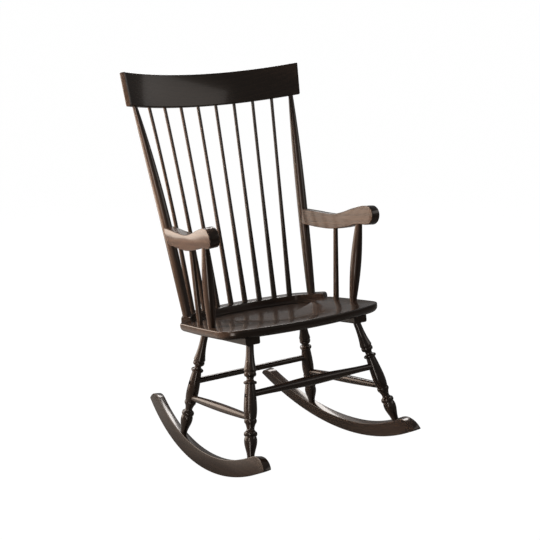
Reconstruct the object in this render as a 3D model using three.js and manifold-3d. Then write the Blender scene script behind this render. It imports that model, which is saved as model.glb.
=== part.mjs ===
// Boston rocking chair: turned legs on curved rockers, a saddled seat, a spindle back under a
// bent crest rail, and scrolled arms. Millimetres, +Z up, the chair faces -Y.
//
// Every piece is laid out in the chair's own level frame: X across, Y back along the seat,
// Z up from the seat's rim. The last lines lean that frame back by the angle at which the
// chair comes to rest on its rockers. "left" and "right" are the sitter's, so left is +X.
import * as THREE from "three";
import { mergeVertices } from "three/addons/utils/BufferGeometryUtils.js";
import Module from "manifold-3d";

const wasm = await Module();
wasm.setup();

// Seat
const seatWidth = 538; // between the front corners
const seatRearWidth = 515; // where the sides meet the back rail's ends
const seatDepth = 447; // front edge to back edge on the centre line
const seatAhead = 219; // how much of that lies ahead of the frame's origin
const seatThickness = 27;
const seatFrontBow = 650; // plan radius of the front edge
const seatSideBow = 3; // how far a side bows out from straight
const seatCornerRadius = 14; // plan radius of a front corner
const seatTopRound = 3; // easing of the rim
const seatLowerRound = 15; // width of the big round under the edge
const seatLowerRise = 12; // height of that round

// Saddle: the hollow in the seat's top
const saddleDepth = 13.5;
const saddleWidth = 330; // across its straight part
const saddleFrontBorder = 51; // rim left in front of it
const saddleFrontSlope = 105; // how far its front slope runs
const saddleBackSlope = 9; // how far the cove under the back rail runs
const saddleMiddle = 50; // how far behind the origin it is widest

// Back rail: the bent strip that carries the back
const railBow = 600; // plan radius of its long middle
const railBowHalf = 166.5; // half the width of that middle
const railCornerRadius = 58;
const railWing = 84; // straight part of each forward wing
const railWingAngle = 58; // degrees that a wing turns forward
const railDepth = 28;
const railEndHeight = 15; // front face height at the wings' ends
const railMiddleHeight = 16.5; // front face height at the middle
const railTopRise = 5.5; // how much higher its back edge is than its front edge, at the middle
const railWingRise = 1; // and at the wings' ends
const railRound = 2.5; // easing of its top edges
const railMargin = 5; // seat left behind it
const railBedTilt = 4; // degrees that its bed on the seat falls to the back

// Back: posts, spindles and crest rail
const backLength = 610; // rail to crest along the rake
const backRake = 6.9; // degrees
const crestBow = 632; // plan radius of the crest's middle surface
const crestThickness = 17.5;
const crestHeight = 98;
const crestPitch = 62; // between spindles at the crest, along its bow
const crestOverhang = 29; // crest beyond a post, along its bow
const crestFlare = 7; // how much wider each half is at the top
const crestArch = 5; // rise of the crest's bottom edge at its ends
const crestCrown = 5; // rise of its top edge at its ends
const crestRound = 3;
const spindlePitch = 50; // between spindles at the rail, along its plan
const spindleCount = 8;
const spindleFootDiameter = 17;
const spindleTopDiameter = 10;
const postFromWingEnd = 48; // post centre to the end of the rail's wing
const postDiameter = 31.5;
const postBowAhead = 6.5; // how far a post's middle stands ahead of a straight line
const postBowInwards = 3.4; // and inside it
const spindleBowAhead = 5.4; // the same for the outermost spindles
const spindleBowInwards = 3.4;
const spindleRailDepth = 11; // how deep spindles go into the rail
const crestSocketDepth = 20;

// Arms
const armLength = 322.5; // nose to the square end at the back post
const armDepth = 68; // lowest point of an arm to its highest
const armThickness = 30;
const armEase = 1.5;
const armHeight = 214; // seat's rim to an arm's lowest point
const armEndGap = 8; // an arm's square end ahead of the back post's axis, before it is coped
const armHalfWidth = 227.4; // middle of the board at the frame's origin
const armToe = 5.65; // degrees that the arms open to the front
const armLean = 5.3; // degrees that they lean out
const armNose = 28; // radius of the rounded front end

// Arm supports
const armPostFromFront = 162; // foot to the seat's front edge
const armPostFootHalf = 242; // half the distance between the feet
const armPostForward = 39; // how far its top is ahead of its foot
const armPostDiameter = 32.5;
const armSpindleFromFront = 240;
const armSpindleFootHalf = 235.7;
const armSpindleForward = 13.5;
const armSpindleDiameter = 17.5; // at its foot

// Side frames: legs, cleats, stretchers and rockers share one leaning plane a side
const sideHalf = 165.1; // plane to middle at the frame's origin
const sideLean = 12.2; // degrees
const sideToe = 2.02; // degrees
const cleatWidth = 45;
const cleatHeight = 20;
const cleatFrontGap = 49; // cleat's front end behind the seat's front edge
const cleatBackGap = 76; // cleat's back end ahead of the seat's back edge
const cleatRound = 5;
const legDiameter = 36.6;
const legLength = 305; // turned length, from the rocker up; the rest is plain
const frontLegFromFront = 68; // top of a front leg behind the seat's front edge
const rearLegFromBack = 108.5; // top of a rear leg ahead of the seat's back edge
const frontLegRake = 11.4; // degrees forward
const rearLegRake = 15.7; // degrees back
const frontStretcherDrop = 178; // below the seat's rim
const rearStretcherDrop = 189;
const sideStretcherDrop = 238;
const frontStretcherDiameter = 28;
const rearStretcherDiameter = 18;
const sideStretcherDiameter = 24.5;
const stretcherEndDiameter = 15;
const sideStretcherEndDiameter = 18;
const stretcherDepth = 12; // how deep stretchers go into the legs

// Rockers
const rockerRadius = 775;
const rockerDrop = 415.5; // seat's rim to the lowest point of the arc, seat level
const rockerCentreFromFront = 216; // centre of the arc behind the seat's front edge
const rockerThickness = 24;
const rockerHeight = 41.5;
const rockerNoseGain = 5.5; // how much deeper the board is at its nose
const rockerNoseRun = 20; // degrees of arc over which it deepens
const rockerNoseRound = 58; // length of the rounded nose
const rockerTailRound = 50; // and of the rounded tail
const rockerEase = 1.5;
const rockerFacetAngle = 2.62; // degrees of arc for each flat of the sole
const rockerFacetsAhead = 12.5; // flats from the middle of the resting one to the nose
const rockerFacetsBehind = 9.5; // and to the tail
const restTilt = 10; // degrees that the seat falls to the back at rest

// Joints
const fit = 0.3; // clearance between pieces that touch
const sink = 8; // how far a shoulder is made long before it is cut to its seat
const legTopTenon = 16;
const legTopTenonDiameter = 16;
const legFootTenon = 25;
const legFootTenonDiameter = 13;
const armPostTenon = 17;
const armPostTenonDiameter = 14;
const postFootTenon = 13;
const postFootTenonDiameter = 13;
const postTopTenonDiameter = 10;
const armSpindleDepth = 16;

// Fasteners
const railScrewHead = 11;
const railScrewShank = 4.5;
const railScrewLength = 30;
const railScrewRecess = 1;
const railScrewFromPost = 46; // outer screws to the posts, along the rail
const boltHead = 10;
const boltShank = 5;
const boltLength = 45;
const boltRecess = 4;
const cleatBoltHead = 13;
const cleatBoltShank = 6;
const cleatBoltLength = 36;
const cleatBoltRecess = 5;
const cleatBoltSpacing = 110;
const armScrewHead = 9;
const armScrewShank = 4.5;
const armScrewLength = 55;
const armScrewRecess = 1.5;
const fastenerHeadShare = 0.36; // head's thickness as a share of its diameter

const turn = THREE.MathUtils.degToRad;
const sides = { left: 1, right: -1 };
const seatFront = -seatAhead;
const seatBack = seatDepth - seatAhead;
const railMiddle = seatBack - railMargin - railDepth / 2;

const wood = { color: 0x33271f, roughness: 0.36, metalness: 0 };
const steel = { color: 0x1d1b1a, roughness: 0.45, metalness: 0.7 };

// Solids: manifold-3d does the cuts and joins, three.js everything else.

function toSolid(geometry) {
  const bare = geometry.clone();
  bare.deleteAttribute("normal");
  bare.deleteAttribute("uv");
  const merged = mergeVertices(bare);
  const corners = merged.index.array;
  const kept = [];
  for (let i = 0; i < corners.length; i += 3) {
    const [a, b, c] = corners.slice(i, i + 3);
    if (a !== b && b !== c && c !== a) kept.push(a, b, c);
  }
  const vertProperties = new Float32Array(merged.attributes.position.array);
  const triVerts = new Uint32Array(kept);
  return new wasm.Manifold(new wasm.Mesh({ numProp: 3, vertProperties, triVerts }));
}

function toGeometry(solid) {
  const mesh = solid.getMesh();
  const geometry = new THREE.BufferGeometry();
  geometry.setAttribute("position", new THREE.BufferAttribute(mesh.vertProperties, 3));
  geometry.setIndex(new THREE.BufferAttribute(mesh.triVerts, 1));
  return geometry;
}

// A piece is a named mesh with its place in the chair, and its solid in its own frame.
const pieces = [];

function piece(name, look, solid, place) {
  const mesh = new THREE.Mesh(new THREE.BufferGeometry(), new THREE.MeshStandardMaterial(look));
  mesh.name = name;
  if (place) place(mesh);
  mesh.updateMatrix();
  const made = { mesh, solid };
  pieces.push(made);
  return made;
}

function moved(solid, from, to) {
  const matrix = to.mesh.matrix.clone().invert().multiply(from.mesh.matrix);
  return solid.transform(matrix.toArray());
}

function cut(target, tool, toolSolid) {
  target.solid = target.solid.subtract(moved(toolSolid, tool, target));
}

// A closed skin over rings of points, with a flat cap at each end.
function skin(rings) {
  const count = rings[0].length;
  const points = rings.flat();
  const faces = [];
  for (let r = 0; r + 1 < rings.length; r += 1) {
    for (let k = 0; k < count; k += 1) {
      const a = r * count + k;
      const b = r * count + ((k + 1) % count);
      faces.push(a, b, b + count, a, b + count, a + count);
    }
  }
  const last = (rings.length - 1) * count;
  const middle = (ring) =>
    ring.reduce((sum, p) => sum.add(p), new THREE.Vector3()).divideScalar(ring.length);
  points.push(middle(rings[0]), middle(rings[rings.length - 1]));
  for (let k = 0; k < count; k += 1) {
    const next = (k + 1) % count;
    faces.push(points.length - 2, next, k);
    faces.push(points.length - 1, last + k, last + next);
  }
  const geometry = new THREE.BufferGeometry().setFromPoints(points);
  geometry.setIndex(faces);
  return geometry;
}

// Ways from one radius or height to the next: each takes and gives a share from 0 to 1.
const even = (t) => t;
const slowStart = (power) => (t) => t ** power;
const slowEnd = (power) => (t) => 1 - (1 - t) ** power;
const wave = (t) => (1 - Math.cos(Math.PI * t)) / 2;
const swelling = (t) => Math.sin(Math.PI * t);
const roundness = (t) => Math.sqrt(Math.max(0, 1 - (2 * t - 1) ** 2));

// A turning is a list of [station, radius, steps, way, bulge] shares, from foot to top:
// station along the length, radius of the largest radius, and a bulge that rounds the
// stretch out (a bead) or in (a cove).
function turning(shares, length, radius) {
  const outline = [new THREE.Vector2(shares[0][1] * radius, 0)];
  for (let i = 1; i < shares.length; i += 1) {
    const [startAt, startRadius] = shares[i - 1];
    const [endAt, endRadius, steps = 1, way = even, bulge = 0, form = roundness] = shares[i];
    for (let k = 1; k <= steps; k += 1) {
      const t = k / steps;
      const share = startRadius + (endRadius - startRadius) * way(t) + bulge * form(t);
      const at = startAt + (endAt - startAt) * t;
      outline.push(new THREE.Vector2(share * radius, at * length));
    }
  }
  return outline;
}

// A round bar along its own Y axis through the outline, closed on the axis at both ends.
function lathe(outline, segments) {
  const foot = new THREE.Vector2(0, outline[0].y);
  const top = new THREE.Vector2(0, outline[outline.length - 1].y);
  return toSolid(new THREE.LatheGeometry([foot, ...outline, top], segments));
}

function bar(radius, from, to) {
  const segments = 8;
  return lathe([new THREE.Vector2(radius, from), new THREE.Vector2(radius, to)], segments);
}

const barAxis = new THREE.Vector3(0, 1, 0);

function along(from, to) {
  return (mesh) => {
    mesh.position.copy(from);
    mesh.quaternion.setFromUnitVectors(barAxis, to.clone().sub(from).normalize());
  };
}

// A turned stick between two points. Its ends run on into what they meet, by "inside" at
// the foot and "beyond" at the top. The turning is laid out over the stick's length, or over
// a length of its own. "grown" is the same stick with clearance all round.
function stick(name, shares, diameter, from, to, options = {}) {
  const { segments = 12, inside = 0, beyond = 0 } = options;
  const length = from.distanceTo(to);
  const outline = turning(shares, options.turned ?? length, diameter / 2);
  outline[0].y = -inside;
  outline[outline.length - 1].y = length + beyond;
  const made = piece(name, wood, lathe(outline, segments), along(from, to));
  made.from = from;
  made.to = to;
  made.length = length;
  made.grown = grow(outline, segments);
  return made;
}

function grow(outline, segments) {
  const wider = outline.map((p) => new THREE.Vector2(p.x + fit, p.y));
  wider[0].y -= fit;
  wider[wider.length - 1].y += fit;
  return lathe(wider, segments);
}

// Bend a straight stick: its middle moves aside, and its ends stay.
function bend(made, x, y) {
  const turned = made.mesh.quaternion.clone().invert();
  const aside = new THREE.Vector3(x, y, 0).applyQuaternion(turned);
  const push = (p) => {
    const share = p[1] / made.length;
    const reach = bowAt(share);
    p[0] += aside.x * reach;
    p[2] += aside.z * reach;
  };
  made.solid = made.solid.warp(push);
  made.grown = made.grown.warp(push);
  made.aside = new THREE.Vector3(x, y, 0);
}

function bowAt(share) {
  return 4 * share * (1 - share);
}

// The end of a stick is cut to the face that it stands on and gets a tenon through it.
function seatEnd(member, carrier, tenonDiameter, tenonLength, atTop) {
  const toMember = atTop ? -fit : fit;
  const face = moved(carrier.solid, carrier, member).translate([0, toMember, 0]);
  const start = atTop ? member.length : 0;
  const way = atTop ? 1 : -1;
  const inner = start - way * sink;
  const tip = start + way * tenonLength;
  const radius = tenonDiameter / 2;
  const tenon = bar(radius, Math.min(inner, tip), Math.max(inner, tip));
  const hole = bar(radius + fit, Math.min(inner, tip + way * fit), Math.max(inner, tip + way * fit));
  member.solid = member.solid.subtract(face);
  member.solid = keepLargest(member.solid).add(tenon);
  cut(carrier, member, hole);
}

// A cut can leave the sliver of a long shoulder on the far side of a thin carrier.
function keepLargest(solid) {
  const parts = solid.decompose();
  parts.sort((a, b) => b.volume() - a.volume());
  return parts[0];
}

// Plan of the back rail: a long bow, a corner and a straight wing on each side.
const railBowLength = railBow * Math.asin(railBowHalf / railBow);
const railCornerStart = Math.asin(railBowHalf / railBow);
const railCornerLength = railCornerRadius * (turn(railWingAngle) - railCornerStart);
const railHalfLength = railBowLength + railCornerLength + railWing;

// Point at a signed distance along the rail from its middle, and "out" beyond its middle line.
function railPlan(distance, out = 0) {
  const side = Math.sign(distance) || 1;
  const run = Math.abs(distance);
  const onBow = Math.min(run, railBowLength) / railBow;
  const onCorner = Math.min(Math.max(run - railBowLength, 0), railCornerLength) / railCornerRadius;
  const onWing = Math.max(run - railBowLength - railCornerLength, 0);
  const heading = onBow + onCorner;
  const corner = railCornerStart;
  let x = railBow * Math.sin(onBow);
  let y = railMiddle - railBow + railBow * Math.cos(onBow);
  if (onCorner > 0) {
    x += railCornerRadius * (Math.sin(heading) - Math.sin(corner));
    y += railCornerRadius * (Math.cos(heading) - Math.cos(corner));
  }
  x += onWing * Math.cos(heading) + out * Math.sin(heading);
  y += out * Math.cos(heading) - onWing * Math.sin(heading);
  return new THREE.Vector2(side * x, y);
}

const railEnd = railPlan(railHalfLength);
const bedStart = railPlan(railHalfLength, -railDepth / 2).y;

// Height of the seat's top around the saddle: level, then falling under the back rail from
// the front corners of its wings.
function bedHeight(y) {
  return -Math.max(0, y - bedStart) * Math.tan(turn(railBedTilt));
}

// Height of the rail's front top edge, from its wings' ends to its middle.
function railFrontTop(y) {
  const share = (y - railEnd.y) / (railMiddle - railEnd.y);
  const height = railEndHeight + (railMiddleHeight - railEndHeight) * share;
  return height - (y - railEnd.y) * Math.tan(turn(railBedTilt));
}

// How much higher its back top edge is.
function railRise(y) {
  const share = (y - railEnd.y) / (railMiddle - railEnd.y);
  return railWingRise + (railTopRise - railWingRise) * share;
}

function backRail() {
  const stationCount = 26;
  const half = railDepth / 2;
  const rings = [];
  for (let i = 0; i <= stationCount; i += 1) {
    const distance = railHalfLength * (1 - (2 * i) / stationCount);
    const centre = railPlan(distance);
    const top = railFrontTop(centre.y);
    const rise = railRise(centre.y);
    const ring = [];
    const corner = (out, height) => {
      const p = railPlan(distance, out);
      ring.push(new THREE.Vector3(p.x, p.y, height ?? bedHeight(p.y) + fit));
    };
    corner(-half);
    corner(-half, top - railRound);
    corner(-half + railRound, top + rise * (railRound / railDepth));
    corner(half - railRound, top + rise * (1 - railRound / railDepth));
    corner(half, top + rise - railRound);
    corner(half);
    rings.push(ring);
  }
  return piece("back_rail", wood, toSolid(skin(rings)));
}

// Seat outline in plan: bowed front, eased corners, bowed sides, and a back edge that
// follows the rail.
function seatOutline() {
  const half = [];
  const cornerX = seatWidth / 2;
  const bowY = (x) => seatFront + seatFrontBow - Math.sqrt(seatFrontBow ** 2 - x ** 2);
  const corner = new THREE.Vector2(cornerX, bowY(cornerX));
  const rear = railPlan(railHalfLength, railDepth / 2 + railMargin);
  rear.x = Math.min(rear.x, seatRearWidth / 2);
  const frontSteps = 6;
  const bowEnd = cornerX - seatCornerRadius;
  for (let k = 0; k < frontSteps; k += 1) {
    const x = (bowEnd * k) / frontSteps;
    half.push(new THREE.Vector2(x, bowY(x)));
  }
  const before = new THREE.Vector2(bowEnd, bowY(bowEnd));
  const up = corner.clone().lerp(rear, seatCornerRadius / corner.distanceTo(rear));
  const cornerSteps = 3;
  half.push(...new THREE.QuadraticBezierCurve(before, corner, up).getPoints(cornerSteps));
  const mid = up.clone().lerp(rear, 0.5);
  mid.x += 2 * seatSideBow;
  const sideSteps = 4;
  half.push(...new THREE.QuadraticBezierCurve(up, mid, rear).getPoints(sideSteps).slice(1));
  const backSteps = 12;
  for (let k = 1; k <= backSteps; k += 1) {
    const distance = railHalfLength * (1 - k / backSteps);
    half.push(railPlan(distance, railDepth / 2 + railMargin));
  }
  const other = half.slice(1, -1).reverse();
  return [...half, ...other.map((p) => new THREE.Vector2(-p.x, p.y))];
}

// Edge of the saddle in plan: an oval front that flares to the rail's wings, and a back
// that follows the rail's front face.
function saddleEdge() {
  const half = [];
  const front = seatFront + saddleFrontBorder;
  const rear = railPlan(railHalfLength, -railDepth / 2);
  const ovalSteps = 24;
  for (let k = 0; k < ovalSteps; k += 1) {
    const lean = (Math.PI / 2) * (k / ovalSteps);
    const y = saddleMiddle - (saddleMiddle - front) * Math.cos(lean);
    half.push(new THREE.Vector2((saddleWidth / 2) * Math.sin(lean), y));
  }
  const flareSteps = 8;
  const start = new THREE.Vector2(saddleWidth / 2, saddleMiddle);
  const bend = new THREE.Vector2(saddleWidth / 2, (saddleMiddle + rear.y) / 2);
  half.push(...new THREE.QuadraticBezierCurve(start, bend, rear).getPoints(flareSteps));
  const backSteps = 24;
  for (let k = 1; k <= backSteps; k += 1) {
    half.push(railPlan(railHalfLength * (1 - k / backSteps), -railDepth / 2));
  }
  const other = half.slice(1, -1).reverse();
  return [...half, ...other.map((p) => new THREE.Vector2(-p.x, p.y))];
}

// Where the ray from the middle towards a point crosses a closed line.
function crossing(line, middle, towards) {
  const ray = towards.clone().sub(middle);
  for (let k = 0; k < line.length; k += 1) {
    const a = line[k].clone().sub(middle);
    const side = line[(k + 1) % line.length].clone().sub(middle).sub(a);
    const area = ray.cross(side);
    const reach = a.cross(side) / area;
    const share = a.cross(ray) / area;
    if (reach > 0 && share >= 0 && share <= 1) return ray.multiplyScalar(reach).add(middle);
  }
  throw new Error("the ray misses the line");
}

function inset(outline, distance) {
  return outline.map((p, k) => {
    const before = outline[(k + outline.length - 1) % outline.length];
    const after = outline[(k + 1) % outline.length];
    const way = after.clone().sub(before).normalize();
    return new THREE.Vector2(p.x - way.y * distance, p.y + way.x * distance);
  });
}

function seatSolid() {
  const outline = seatOutline();
  const edge = saddleEdge();
  const middle = new THREE.Vector2(0, 0);
  const level = (ring, height) =>
    ring.map((p) => new THREE.Vector3(p.x, p.y, typeof height === "function" ? height(p) : height));
  const rings = [];
  const lowerSteps = 3;
  for (let k = 0; k <= lowerSteps; k += 1) {
    const lean = (Math.PI / 2) * (k / lowerSteps);
    const ring = inset(outline, seatLowerRound * (1 - Math.sin(lean)));
    rings.push(level(ring, -seatThickness + seatLowerRise * (1 - Math.cos(lean))));
  }
  const upperSteps = 2;
  for (let k = 0; k <= upperSteps; k += 1) {
    const lean = (Math.PI / 2) * (k / upperSteps);
    const ring = inset(outline, seatTopRound * (1 - Math.cos(lean)));
    rings.push(level(ring, (p) => bedHeight(p.y) - seatTopRound * (1 - Math.sin(lean))));
  }
  const rim = outline.map((p) => crossing(edge, middle, p));
  const slope = rim.map((p) => {
    const back = Math.min(Math.max((p.y - saddleMiddle) / (railEnd.y - saddleMiddle), 0), 1);
    return saddleFrontSlope + (saddleBackSlope - saddleFrontSlope) * wave(back);
  });
  const wallSteps = 3;
  for (let k = 0; k <= wallSteps; k += 1) {
    const t = k / wallSteps;
    const ring = rim.map((p, i) => {
      const inner = p.clone().multiplyScalar(1 - (slope[i] * t) / p.length());
      const top = bedHeight(p.y);
      const height = top + (-saddleDepth - top) * slowEnd(2)(t);
      return new THREE.Vector3(inner.x, inner.y, height);
    });
    rings.push(ring);
  }
  const floor = rings[rings.length - 1];
  rings.push(floor.map((p) => new THREE.Vector3(p.x / 2, p.y / 2, p.z)));
  return toSolid(skin(rings));
}

// The leaning plane that a side's legs, cleat, rocker and side stretcher share.
function sideX(y, z) {
  return sideHalf - y * Math.tan(turn(sideToe)) - z * Math.tan(turn(sideLean));
}

function sidePoint(side, y, z) {
  return new THREE.Vector3(side * sideX(y, z), y, z);
}

// Rocker: sole and top edge are arcs about one centre, and both ends are rounded from the
// top edge down to the sole's corner.
const rockerCentreY = seatFront + rockerCentreFromFront;
const rockerCentreZ = rockerRadius - rockerDrop;
const rockerNose = restTilt - rockerFacetsAhead * rockerFacetAngle;
const rockerTail = restTilt + rockerFacetsBehind * rockerFacetAngle;

function rockerPoint(angle, height) {
  const reach = rockerRadius - height;
  return new THREE.Vector2(
    rockerCentreY + reach * Math.sin(turn(angle)),
    rockerCentreZ - reach * Math.cos(turn(angle)),
  );
}

// Height of the board at an angle of its arc: even, then deeper towards the nose.
function rockerHeightAt(angle) {
  const share = 1 - (angle - rockerNose) / rockerNoseRun;
  return rockerHeight + rockerNoseGain * wave(Math.min(Math.max(share, 0), 1));
}

function rockerOutline() {
  const points = [];
  const facets = rockerFacetsAhead + rockerFacetsBehind;
  for (let k = 0; k <= facets; k += 1) {
    points.push(rockerPoint(rockerNose + k * rockerFacetAngle, 0));
  }
  const angleOf = (length) => THREE.MathUtils.radToDeg(length / rockerRadius);
  const roundSteps = 6;
  for (let k = 1; k <= roundSteps; k += 1) {
    const lean = (Math.PI / 2) * (k / roundSteps);
    const angle = rockerTail - angleOf(rockerTailRound) * (1 - Math.cos(lean));
    points.push(rockerPoint(angle, rockerHeightAt(angle) * Math.sin(lean)));
  }
  const topSteps = 16;
  const topFrom = rockerTail - angleOf(rockerTailRound);
  const topTo = rockerNose + angleOf(rockerNoseRound);
  for (let k = 1; k < topSteps; k += 1) {
    const angle = topFrom + ((topTo - topFrom) * k) / topSteps;
    points.push(rockerPoint(angle, rockerHeightAt(angle)));
  }
  for (let k = roundSteps; k >= 1; k -= 1) {
    const lean = (Math.PI / 2) * (k / roundSteps);
    const angle = rockerNose + angleOf(rockerNoseRound) * (1 - Math.cos(lean));
    points.push(rockerPoint(angle, rockerHeightAt(angle) * Math.sin(lean)));
  }
  return points;
}

// A board cut to an outline in the Y-Z plane, with eased edges, its middle on X = 0.
function board(outline, thickness, ease) {
  const shape = new THREE.Shape(inset(outline, ease));
  const geometry = new THREE.ExtrudeGeometry(shape, {
    depth: thickness - 2 * ease,
    bevelThickness: ease,
    bevelSize: ease,
    bevelSegments: 1,
  });
  geometry.translate(0, 0, ease - thickness / 2);
  geometry.applyMatrix4(new THREE.Matrix4().set(0, 0, 1, 0, 1, 0, 0, 0, 0, 1, 0, 0, 0, 0, 0, 1));
  return geometry;
}

// The sole is planed level, but the top edge is square to the leaning board, so it falls to
// the inside.
function squareTopEdge(geometry, side) {
  const places = geometry.attributes.position;
  for (let k = 0; k < places.count; k += 1) {
    const y = places.getY(k) - rockerCentreY;
    const z = places.getZ(k) - rockerCentreZ;
    const share = (rockerRadius - Math.hypot(y, z)) / rockerHeight;
    const fall = places.getX(k) * side * Math.tan(turn(sideLean));
    places.setZ(k, places.getZ(k) + fall * Math.min(share, 1));
  }
}

function rocker(name, side) {
  const geometry = board(rockerOutline(), rockerThickness, rockerEase);
  const shear = new THREE.Matrix4().makeShear(
    0,
    0,
    -side * Math.tan(turn(sideToe)),
    0,
    -side * Math.tan(turn(sideLean)),
    0,
  );
  squareTopEdge(geometry, side);
  geometry.applyMatrix4(shear);
  return piece(`rocker_${name}`, wood, toSolid(geometry), (mesh) => {
    mesh.position.x = side * sideHalf;
  });
}

// Cleat: the bar under the seat that a side's legs are tenoned into.
const cleatBase = -seatThickness - fit - cleatHeight;

function cleat(name, side) {
  const half = cleatWidth / 2;
  const shape = new THREE.Shape();
  shape.moveTo(-half, cleatHeight);
  shape.lineTo(-half, cleatRound);
  shape.absarc(cleatRound - half, cleatRound, cleatRound, Math.PI, 1.5 * Math.PI, false);
  shape.absarc(half - cleatRound, cleatRound, cleatRound, 1.5 * Math.PI, 2 * Math.PI, false);
  shape.lineTo(half, cleatHeight);
  const front = seatFront + cleatFrontGap;
  const depth = seatBack - cleatBackGap - front;
  const geometry = new THREE.ExtrudeGeometry(shape, { depth, bevelEnabled: false, curveSegments: 3 });
  geometry.rotateX(Math.PI / 2);
  geometry.translate(0, depth, 0);
  return piece(`leg_cleat_${name}`, wood, toSolid(geometry), (mesh) => {
    mesh.position.set(side * sideX(front, cleatBase), front, cleatBase);
    mesh.rotation.z = side * turn(sideToe);
  });
}

// Where a leg's line meets the top edge of its rocker, walking down from its top. The
// board's height is read at the last crossing found, which settles in a few rounds.
function footOf(topY, rake) {
  const slope = Math.tan(turn(rake));
  const y0 = topY - rockerCentreY;
  const z0 = cleatBase - rockerCentreZ;
  const a = 1 + slope ** 2;
  const b = y0 * slope - z0;
  let drop = 0;
  const rounds = 5;
  for (let k = 0; k < rounds; k += 1) {
    const angle = Math.atan2(y0 + drop * slope, drop - z0);
    const height = rockerHeightAt(THREE.MathUtils.radToDeg(angle));
    const c = y0 ** 2 + z0 ** 2 - (rockerRadius - height) ** 2;
    drop = (-b + Math.sqrt(b ** 2 - a * c)) / a;
  }
  return new THREE.Vector2(topY + drop * slope, cleatBase - drop);
}

// From the foot on the rocker up to the cleat.
const legTurningShares = [
  [0, 0.545],
  [0.147, 0.975, 4, wave],
  [0.187, 0.83, 2, slowStart(2)],
  [0.228, 0.8, 3, even, 0.19],
  [0.25, 0.574, 2, slowEnd(1.6)],
  [0.3, 0.8, 2, slowStart(1.6)],
  [0.336, 0.84, 3, even, 0.12],
  [0.434, 1, 3, slowEnd(2.4)],
  [0.643, 0.73, 3, slowStart(1.5)],
  [0.673, 0.73, 4, even, 0.27],
  [0.713, 0.77, 4, even, -0.22],
  [0.749, 0.82, 3, even, 0.13],
  [0.767, 0.955],
  [1, 0.58, 3, slowEnd(2.4)],
];

function leg(name, side, topY, rake) {
  const foot = footOf(topY, rake);
  const from = sidePoint(side, foot.x, foot.y);
  const to = sidePoint(side, topY, cleatBase);
  const options = { segments: 12, inside: sink, beyond: sink, turned: legLength };
  return stick(`leg_${name}`, legTurningShares, legDiameter, from, to, options);
}

// Point on a stick's axis at a height.
function axisAt(made, height) {
  const share = (height - made.from.z) / (made.to.z - made.from.z);
  const at = made.from.clone().lerp(made.to, share);
  return made.aside ? at.addScaledVector(made.aside, bowAt(share)) : at;
}

function stretcher(name, shares, diameter, legs, drop) {
  const [from, to] = legs.map((made) => axisAt(made, -drop));
  const way = to.clone().sub(from).normalize();
  const reach = legDiameter / 2 - stretcherDepth;
  from.addScaledVector(way, reach);
  to.addScaledVector(way, -reach);
  const made = stick(`stretcher_${name}`, shares, diameter, from, to);
  for (const carrier of legs) cut(carrier, made, made.grown);
  return made;
}

// Swelled bar: straight ends, then a belly that starts slowly or at once.
function swelled(diameter, endDiameter, rise, fall) {
  const end = endDiameter / diameter;
  return [
    [0, end],
    [0.05, end],
    [0.5, 1, 4, rise],
    [0.95, end, 4, fall],
    [1, end],
  ];
}

// A screw or bolt along its own Y axis: the head's top is at 0 and the shank runs on.
function fastener(name, headDiameter, shankDiameter, length, recess, at, towards, targets) {
  const head = headDiameter * fastenerHeadShare;
  const outline = (extra) => [
    new THREE.Vector2(headDiameter / 2 + extra, -recess * Math.sign(extra)),
    new THREE.Vector2(headDiameter / 2 + extra, head + extra),
    new THREE.Vector2(shankDiameter / 2 + extra, head + extra),
    new THREE.Vector2(shankDiameter / 2 + extra, length + extra),
  ];
  const segments = 8;
  const made = piece(name, steel, lathe(outline(0), segments), along(at, towards));
  const hole = lathe(outline(fit), segments);
  for (const target of targets) cut(target, made, hole);
  return made;
}

// Crest rail: a bent plank, its ends flared to follow the posts.
const crestPostAngle = ((spindleCount / 2 + 0.5) * crestPitch) / crestBow;
const crestEndAngle = crestPostAngle + crestOverhang / crestBow;
const railTopMiddle = railFrontTop(railMiddle) + railTopRise / 2;

function crestPlace(mesh) {
  mesh.rotation.x = -turn(backRake);
  mesh.position.y = railMiddle + backLength * Math.sin(turn(backRake));
  mesh.position.z = railTopMiddle + backLength * Math.cos(turn(backRake));
}

function crestRail() {
  const half = crestThickness / 2;
  const stationCount = 20;
  const rings = [];
  for (let i = 0; i <= stationCount; i += 1) {
    const share = 1 - (2 * i) / stationCount;
    const bottom = crestArch * share ** 2;
    const top = crestHeight + crestCrown * share ** 2;
    const ring = [];
    const corner = (out, height) => {
      const flare = (crestFlare / crestBow) * (height / crestHeight);
      const angle = share * (crestEndAngle + flare);
      const reach = crestBow + out;
      const y = reach * Math.cos(angle) - crestBow;
      ring.push(new THREE.Vector3(reach * Math.sin(angle), y, height));
    };
    corner(crestRound - half, bottom);
    corner(-half, bottom + crestRound);
    corner(-half, top - crestRound);
    corner(crestRound - half, top);
    corner(half - crestRound, top);
    corner(half, top - crestRound);
    corner(half, bottom + crestRound);
    corner(half - crestRound, bottom);
    rings.push(ring);
  }
  return piece("crest_rail", wood, toSolid(skin(rings)), crestPlace);
}

// Point on the crest's bottom edge at a signed angle along its bow.
function crestFoot(angle, crest) {
  const share = angle / crestEndAngle;
  const y = crestBow * Math.cos(angle) - crestBow;
  const p = new THREE.Vector3(crestBow * Math.sin(angle), y, crestArch * share ** 2);
  return p.applyMatrix4(crest.mesh.matrix);
}

function railTop(distance) {
  const p = railPlan(distance);
  return new THREE.Vector3(p.x, p.y, railFrontTop(p.y) + railRise(p.y) / 2);
}

const spindleTurningShares = [
  [0, 1],
  [0.72, spindleTopDiameter / spindleFootDiameter, 4, slowEnd(1.4)],
  [1, spindleTopDiameter / spindleFootDiameter, 2],
];

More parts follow.
